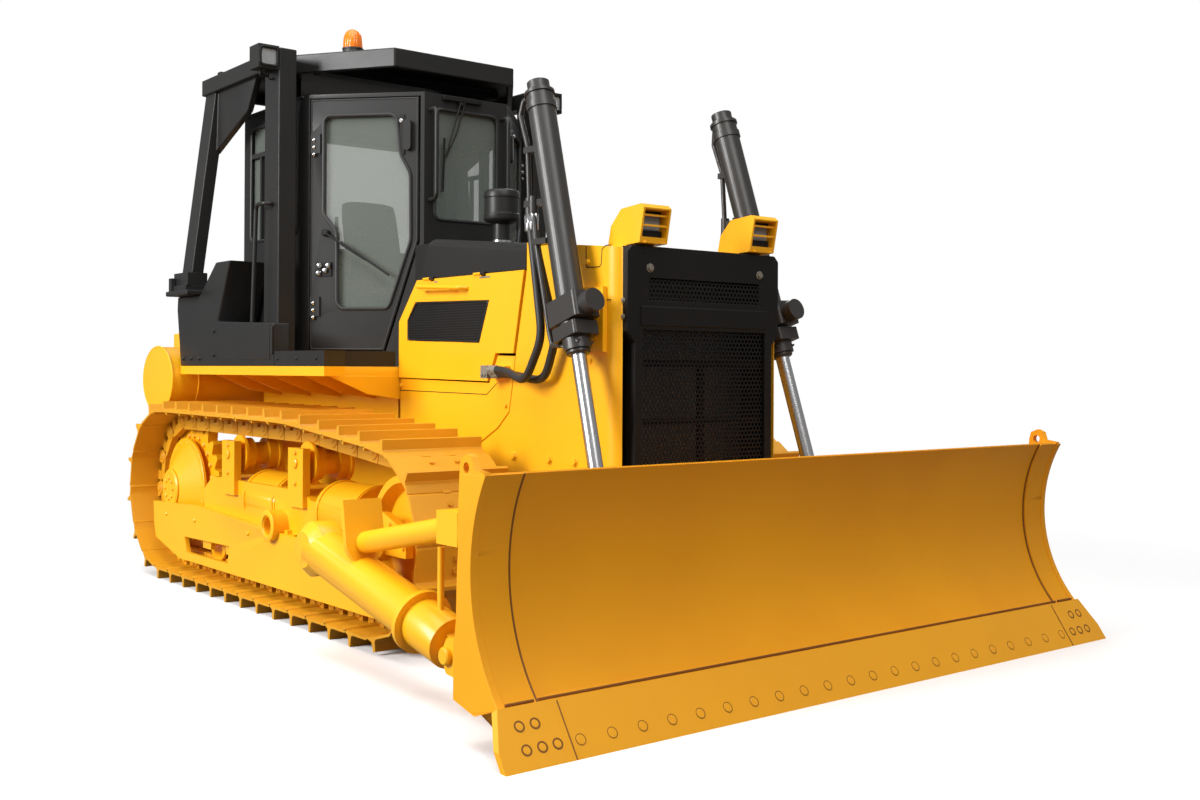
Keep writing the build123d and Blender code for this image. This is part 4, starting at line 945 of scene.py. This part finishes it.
def cushion(place, width, length, thickness, crown):
    """A stuffed cushion: a soft box whose faces bulge towards the middle."""
    work = bmesh.new()
    bmesh.ops.create_cube(work, size=2.0)
    bmesh.ops.subdivide_edges(work, edges=work.edges[:], cuts=15, use_grid_fill=True)
    for vert in work.verts:
        a, b, c = vert.co
        edge = max(abs(a), abs(b))
        full = 1.0 - 0.42 * edge ** 6
        bulge = crown * (1.0 - a * a) * (1.0 - b * b) * (1 if c > 0 else 0.3)
        pull = 1.0 - 0.05 * abs(c) ** 4
        round_a = a * pull * math.sqrt(1.0 - 0.12 * b ** 4)
        round_b = b * pull * math.sqrt(1.0 - 0.12 * a ** 4)
        vert.co = place @ Vector((
            round_a * width / 2, round_b * length / 2, c * full * thickness / 2 + bulge * c))
    bmesh.ops.scale(work, vec=(0.001, 0.001, 0.001), verts=work.verts)
    mesh = bpy.data.meshes.new("cushion")
    bmesh.ops.recalc_face_normals(work, faces=work.faces)
    work.to_mesh(mesh)
    work.free()
    return mesh


def make_seat():
    """The operator's seat: two cushions on a sprung base, with the bars that hold its back."""
    pan = facing_up(-1250, 0, 1678)
    back = plane_at((-1470, 0, 2010), (0, 1, 0), (-0.24, 0, 0.97))
    for name, mesh in (
        ("seat_pan", cushion(pan, 500, 490, 105, 14)),
        ("seat_back", cushion(back, 370, 600, 95, 14)),
    ):
        finished(name, mesh, "chassis", "seat_fabric")
    base = Shape()
    base.box((-1420, -1120), (-170, 170), (1311, 1420))
    for k in range(6):
        grow = 150 - 6 * (k % 2)
        base.box((-1270 - grow, -1270 + grow), (-grow, grow), (1420 + 30 * k, 1450 + 30 * k))
    base.box((-1490, -1030), (-225, 225), (1600, 1622))
    for y in (-205, 205):
        base.tube([(-1470, y, 1640), (-1530, y, 1760), (-1560, y, 2200)], 12, 60)
    piece = base.piece("seat_base", "console_plastic", hand="right", ease=0.003)
    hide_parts("seat")


def make_beacon():
    """A ribbed amber dome on a black foot."""
    foot = facing_up(-909, -434, 3032)
    base = Shape().lathe(foot, [
        (66, 0), (66, 14), (60, 22), (58, 52), (61, 54), (61, 62), (50, 66)], 40)
    piece = base.piece("beacon_foot", "hose_rubber", hand="right")
    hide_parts("beacon")
    profile = [
        (54, 60), (56, 66), (55, 90), (54, 112), (51, 130), (45, 146),
        (36, 159), (24, 168), (10, 172.5)]
    ribs, rib_depth, rib_end = 18, 0.018, 40
    rings = []
    for r, h in profile:
        depth = rib_depth if r > rib_end else 0
        rings.append([
            around(foot, r * (1.0 + depth * math.cos(ribs * a)), a, h) for a in circle(72)])
    Shape().skin(rings).piece("beacon_dome", "beacon_amber", hand="right")


def make_work_lamps():
    """Rim, reflector and lens in each side lamp, and its bracket."""
    face = front_at(-862)
    y0, z0 = -964.0, 2962.0
    rim, glass, mirrors = Shape(), Shape(), Shape()
    square = [(y0 + a, z0 + b) for a, b in ((-50, -50), (50, -50), (50, 50), (-50, 50))]
    rim.bead(face, square, 8, 22)
    bracket = ((-20, 2898), (-24, 2866), (24, 2866), (20, 2898))
    rim.tube([(-925, y0 + y, z) for y, z in bracket], 8, 10)
    rim.tube([(-960, y0 + 20, 2896), (-940, y0 + 40, 2850), (-930, y0 + 62, 2860)], 5, 20, 8)
    glass.prism(front_at(-872), rounded_square(y0, z0, 44, 12), 0, 6)
    mirrors.lathe(facing_front(-879.5, y0, z0), [(42, 0), (40, 3), (14, 1.5), (12, 6)])
    rim.piece("work_lamp_rims", "mask_black")
    glass.piece("work_lamp_lenses", "lamp_lens", ease=0.002)
    mirrors.piece("work_lamp_mirrors", "rod_chrome")


def rounded_square(u, v, half, bend):
    """A square outline with rounded corners about a middle."""
    corners = [(u + a * half, v + b * half, 0) for a, b in ((-1, -1), (1, -1), (1, 1), (-1, 1))]
    return [(p.x, p.y) for p in rounded(corners, bend, closed=True)]


def dress_platform():
    """Sockets, foot plates, lugs and bolts of the roll-over frame and the fender boxes."""
    iron = Shape()
    # the socket that clamps each rear leg, and the lug beside it
    iron.box((-2085, -1815), (-1062, -898), (1720, 1752))
    iron.box((-2060, -1838), (-1042, -918), (1752, 1830))
    iron.box((-2062, -2020), (-1074, -1044), (1700, 1800))
    # the foot plate of each front post
    iron.box((-1095, -815), (-925, -780), (1265, 1289))
    # the lug on each of the frame's side beams
    iron.box((-1800, -1752), (-880, -830), (3022, 3046))
    # lid of the right-hand box, its hinge rod and hasp
    iron.prism(side_at(1000), box_outline((-1440, -745), (1300, 1488)), -1, 4)
    iron.tube([(-712, -1004, 1330), (-712, -1004, 1480)], 9)
    iron.piece("platform_iron", "black_paint", ease=0.003)
    bolted(
        "platform_bolts", "black_paint",
        (side_at(1000), 12, [
            (-2003, 1310), (-1880, 1310), (-1742, 1310), (-1526, 1330), (-1526, 1470)]),
        (top_at(1752), 14, [(x, y) for x in (-2070, -1828) for y in (-1048, -912)]),
        (side_at(1000), 9, [(-650, 1305), (-420, 1305), (-190, 1305)]),
        (top_at(1289), 13, [(x, y) for y in (-908, -797) for x in (-1078, -832)]),
        (side_at(400), 10, [(-120, 1700), (-40, 1560), (-40, 1400)]))


def trim_tank():
    """Raised bands, filler cap and lid bolts of the fuel tank."""
    tank = Shape()
    middle = facing_side(-2316, 0, 1180)
    for y in (1046, 880, -880, -1046):
        band = [middle @ Vector((255 * math.cos(a), 206 * math.sin(a), y)) for a in circle(64)]
        tank.tube(band, 6, 0, 8, closed=True)
    tank.lathe(facing_up(-2330, 430, 1472), [(70, -2), (70, 26), (62, 34), (20, 36)])
    tank.piece("tank_trim", "yellow_paint", hand="right")
    lid = [(u, v) for u in (-150, 150) for v in (-850, -500, -150)]
    bolted("tank_bolts", "yellow_paint", (facing_up(-2325, 0, 1472), 10, lid))


# ---------------------------------------------------------------- lift cylinders and hoses
def make_hoses():
    """Two hoses a side from the panel's block to the unions on the cylinder."""
    for hand in hands:
        hoses = Shape()
        for y, z, low, knee, top, union in (
            (-562, 1250, (1085, -602, 1196), (1214, -602, 1395),
             (1134, -600, 1812), (1112, -600, 1935)),
            (-548, 1232, (1150, -542, 1200), (1252, -552, 1400),
             (1165, -600, 1790), (1172, -622, 1935)),
        ):
            run = [(716, y, z), (860, y, z), low, knee, top, union]
            hoses.tube(run, radius=19, bend=75, sides=16)
        mesh = hoses.mesh("hoses", hand)
        shaded(mesh, 50)
        piece = bpy.data.objects.new(f"lift_hoses_{hand}", mesh)
        collection.objects.link(piece)
        mesh.materials.append(finishes["hose_rubber"])
        y = -0.6 if hand == "right" else 0.6
        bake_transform(piece)
        if hand == "right":
            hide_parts("hoses")
        nuts = Shape()
        for x, y in ((1112, -600), (1172, -622)):
            union = facing_up(x, y, 1905)
            nuts.lathe(union, [(24, 0), (24, 34), (21, 40)], 6)
            nuts.lathe(union, [(22, -34), (23, -30), (23, 0)], 20)
        nuts.piece(f"union_nuts_{hand}", "rod_chrome", f"lift_barrel_{hand}_body", hand)
    block = Shape()
    block.box((684, 740), (-582, -524.5), (1210, 1272))
    for y, z in ((-562, 1250), (-548, 1232)):
        block.lathe(facing_front(738, y, z), [(25, 0), (25, 26), (22, 30)], 6)
        block.lathe(facing_front(768, y, z), [(22.5, -1), (22.5, 26), (21, 30)], 20)
    for x in (700, 724):
        block.lathe(facing_side(x, -582, 1226), [(8, -1), (8, 6), (6, 8)], 6)
    block.piece("hose_blocks", "engine_iron", ease=0.002)


def dress_cylinders():
    """Seal rings and cap bolts of the lift cylinders."""
    for hand, side in (("right", 1), ("left", -1)):
        body = f"lift_barrel_{hand}_body"
        rings = Shape()
        rings.collar(cylinder_at(1338), [(34, 0), (52, 0), (52, 16), (46, 22), (34, 22)], 40)
        rings.collar(cylinder_at(2490), [(60, -4), (69, -4), (69, 10), (60, 10)], 40)
        rings.piece(f"cylinder_rings_{hand}", "cylinder_paint", body, hand)
        spots = []
        for z, radius, count, size, out in ((1362, 60, 4, 10, 1), (2536, 42, 6, 8, -1)):
            ring = ring_of((0, 0), radius, count, 0.6)
            spots += spots_on(cylinder_at(z), size, ring, (side,), out)
        repeated(f"cylinder_bolts_{hand}", hex_head(), spots, "cylinder_paint", body)


# ---------------------------------------------------------------- blade
def edge_at():
    """The plane of the cutting edge's face: u to the left, v up it."""
    return plane_at((2570, 0, 0), (0, 1, 0), (-edge_run, 0, edge_rise))


def hollow_face():
    """The curve of the blade's face, from its top to its foot, in X and Z."""
    return arc_through((2349, 909), (2262, 640), (2431, 165))


def make_blade():
    """The blade with its hollow face cut true, and deeper at the wear strips."""
    hollow = hollow_face()
    cutters = []
    for start, end, depth in (
        (-strip_start, strip_start, -1.5),
        (strip_start, blade_end + 1, 9.5),
        (-blade_end - 1, -strip_start, 9.5),
    ):
        front = [(x + depth, z) for x, z in hollow]
        away = [(2700, 165), (2700, 909)]
        cutters.append(Shape().prism(side_at(end), [*front, *away], start - end, 0).mesh("cutter"))
    shell = carved(merged("blade"), *cutters)
    blade = finished("blade_body", shell, "blade_assembly", "yellow_paint")
    # the blade's paint, deepened with painted shade
    blade.data.materials[0] = blade_shade_finish
    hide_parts("blade")


def bolt_blade():
    """Plough bolts of the cutting edge and its end bits, each ringed with painted shade where it
    sits in its recess.
    """
    face = edge_at()
    slope = math.hypot(edge_run, edge_rise) / edge_rise
    pitch, height = 131.4, 52
    row = [(sign * pitch * (k + 0.5), height * slope) for k in range(11) for sign in (-1, 1)]
    heads = spots_on(face, 17, row, (1,))
    repeated("edge_bolts", flush_head(), heads, "edge_steel", "blade_assembly")
    corner = [(-1592, 54), (-1531, 54), (-1471, 54), (-1590, 119), (-1529, 119)]
    sunk = spots_on(face, 13, [(u, v * slope) for u, v in corner])
    repeated("bit_bolts", flush_head(), sunk, "edge_steel", "blade_assembly")
    # dark rings of painted shade round each bolt head
    marks = Shape()
    for u, v in row:
        marks.collar(face @ Matrix.Translation((u, v, 0)), [
            (18, -1), (20.5, -1), (20.5, 0.6), (18, 0.6)], 24)
    for u, v in corner:
        for side in (1, -1):
            marks.collar(face @ Matrix.Translation((side * u, v * slope, 0)), [
                (14, -1), (20, -1), (20, 0.8), (14, 0.8)], 24)
    shade_rings = marks.piece("bolt_seats", "edge_steel", "blade_assembly", "right")
    shade_rings.data.materials[0] = joint_and_shadow_finish


def draw_joints_and_shadow_lines():
    """Painted shadow lines at the steps of the wear strips and in the groove at the blade's foot,
    and the dark joints of the cutting edge.
    """
    face, hollow = edge_at(), hollow_face()
    seams = Shape()
    # painted shadow at the step along the inner edge of each wear strip
    for y, rise in ((-1484, 9), (1479, 0)):
        seams.tube([(x + rise, y, z) for x, z in hollow], 4, 0, 6)
    # painted shadow in the groove along the blade's foot
    for y in (-1500, 1500):
        seams.tube([(2437, y, 178), (2437, y * 1610 / 1500, 178)], 5, 0, 6)
    seams.tube([(2436, -1480, 178), (2436, 1480, 178)], 5, 0, 6)
    # the joints between the cutting edge and its end bits
    for y in (-bit_seam, bit_seam):
        seams.tube([face @ Vector((y, v, 0.5)) for v in (2, 205)], 2.5, 0, 6)
    lines = seams.piece("blade_seams", "edge_steel", "blade_assembly", "right")
    lines.data.materials[0] = joint_and_shadow_finish


def close_ends():
    """The end plates, whose front edges follow the hollow face, and the bead along the top."""
    ends = Shape()
    ends.tube([(2340, -1610, 908), (2340, 1610, 908)], 6)
    edge = [(x + 14, z) for x, z in hollow_face()]
    plate = edge + [(2300, 130), (2180, 170), (2190, 560), (2200, 700), (2215, 905)]
    ends.prism(side_at(blade_end), plate, -30, 0)
    ends.prism(side_at(-blade_end), plate, 0, 30)
    piece = ends.piece("blade_ends", "yellow_paint", "blade_assembly", "right", ease=0.003)
    piece.data.materials[0] = blade_shade_finish


def pin_arms():
    """The pin heads where the push arms meet the blade."""
    pins = Shape()
    foot = facing_side(1814, -1445, 208)
    pins.lathe(foot, [(34, -30), (34, 16), (28, 22)], 24)
    pins.piece("arm_pins", "yellow_paint", "blade_assembly", ease=0.001)


def arc_through(a, b, c, steps=28):
    """Points of the arc from a to c through b."""
    ax, ay, bx, by, cx, cy = *a, *b, *c
    d = 2 * (ax * (by - cy) + bx * (cy - ay) + cx * (ay - by))
    aa, bb, cc = ax * ax + ay * ay, bx * bx + by * by, cx * cx + cy * cy
    ux = (aa * (by - cy) + bb * (cy - ay) + cc * (ay - by)) / d
    uy = (aa * (cx - bx) + bb * (ax - cx) + cc * (bx - ax)) / d
    radius = math.hypot(ax - ux, ay - uy)
    start, middle, end = (math.atan2(y - uy, x - ux) % math.tau for x, y in (a, b, c))
    if not min(start, end) <= middle <= max(start, end):
        start, end = (start + math.pi) % math.tau - math.pi, (end + math.pi) % math.tau - math.pi
    return [(ux + radius * math.cos(start + (end - start) * k / steps),
             uy + radius * math.sin(start + (end - start) * k / steps)) for k in range(steps + 1)]


# ---------------------------------------------------------------- stage
def make_stage():
    """A pale floor that fades into a white surround, and four wide lamps."""
    finish = Finish(bpy.data.materials.new("floor"))
    place = finish.place()
    span = finish.node("ShaderNodeVectorMath", {"operation": "LENGTH"}, (place,), out="Value")
    fade_start, fade_end = 3.0, 5.4
    edge = finish.ramp(span, fade_start, fade_end)
    ground = finish.node("ShaderNodeBsdfDiffuse", {}, {"Color": rgba(0.92, 0.92, 0.92)})
    dim = finish.node("ShaderNodeBsdfDiffuse", {}, {"Color": rgba(0.20, 0.19, 0.18)})
    glow = finish.node("ShaderNodeEmission", {}, {"Color": rgba(1, 1, 1), "Strength": 1.0})
    seen = finish.node("ShaderNodeLightPath", out="Is Camera Ray")
    shown = finish.node("ShaderNodeMixShader", {}, (seen, dim, ground))
    white = finish.node("ShaderNodeMixShader", {}, (seen * edge, shown, glow))
    mesh = bpy.data.meshes.new("floor")
    work = bmesh.new()
    bmesh.ops.create_circle(work, cap_ends=True, segments=96, radius=60.0)
    work.to_mesh(mesh)
    work.free()
    mesh.materials.append(finish.done(white))
    floor = bpy.data.objects.new("floor", mesh)
    collection.objects.link(floor)

    # the surround lights the part softly, and looks white to the camera and through glass
    sky = Finish(bpy.data.worlds.new("surround"), "ShaderNodeOutputWorld")
    lit, shown = (
        sky.node("ShaderNodeBackground", {}, {"Color": rgba(1, 1, 1), "Strength": strength})
        for strength in (0.30, 1.0))
    seen, through = (
        sky.node("ShaderNodeLightPath", out=ray)
        for ray in ("Is Camera Ray", "Is Transmission Ray"))
    most = sky.node("ShaderNodeMath", {"operation": "MAXIMUM"}, (seen, through))
    bpy.context.scene.world = sky.done(sky.node("ShaderNodeMixShader", {}, (most, lit, shown)))

    lamps = (
        # name, place, aim, width, watts
        ("key", (-1.0, -9.4, 4.8), (0.0, 0.0, 1.0), 4.0, 1150.0),
        ("overhead", (1.5, -1.5, 9.0), (0.5, 0.0, 1.0), 8.0, 660.0),
        ("front", (9.0, -2.0, 8.6), (1.5, 0.0, 0.3), 5.0, 400.0),
        ("back", (-7.0, 6.0, 7.0), (0.0, 0.0, 1.0), 6.0, 350.0),
    )
    for name, place, aim, width, watts in lamps:
        light = bpy.data.lights.new(name, "AREA")
        light.size = width
        light.energy = watts
        lamp = bpy.data.objects.new(name, light)
        lamp.location = place
        lamp.rotation_euler = (Vector(aim) - Vector(place)).to_track_quat("-Z", "Y").to_euler()
        collection.objects.link(lamp)


place_camera()
finishes = make_finishes()
# dark brown of painted shadow, for the lines at the wear strips' steps and in the blade's foot
# groove and the rings round the bolt recesses; it also colours the dark joints of the cutting edge
joint_and_shadow_finish = paint("seam_shadow", (0.22, 0.075, 0.004), (0.16, 0.05, 0.003), 0.6)
# the blade's orange, deeper than the body's yellow, is partly its own paint and partly painted shade
# of its face
blade_shade_finish = paint(
    "blade_orange_with_shade", (0.88, 0.36, 0.001), (0.82, 0.32, 0.001), 0.42, coat=0.03, shine=0.35)
repeats = repeat_tree()
dress_frame()
make_stage()

eased_nodes = (
    # node, width of the eased edge in metres
    ("nose", 0.008), ("hull", 0.006), ("fuel_tank", 0.01), ("platform", 0.005),
    ("cab_shell", 0.006), ("roof", 0.008), ("hood", 0.004), ("fender_boxes", 0.008),
    ("push_arms", 0.006), ("blade_brackets", 0.005), ("track_frame_left", 0.006),
    ("track_frame_right", 0.006), ("rops_side_left", 0.008), ("rops_side_right", 0.008),
    ("cab_door_left", 0.005), ("cab_door_right", 0.005), ("engine_door_left", 0.003),
    ("engine_door_right", 0.003), ("side_panels", 0.003),
)
for node, width in eased_nodes:
    softened(node, width)
make_tracks()
dress_running_gear()
make_mask()
dress_nose()
dress_engine_doors()
make_headlamps()
make_pre_cleaner()
seal_windows()
make_wiper()
dress_doors()
make_seat()
make_beacon()
make_work_lamps()
dress_platform()
trim_tank()
make_hoses()
dress_cylinders()
make_blade()
bolt_blade()
draw_joints_and_shadow_lines()
close_ends()
pin_arms()

bpy.context.scene.view_settings.view_transform = "Standard"
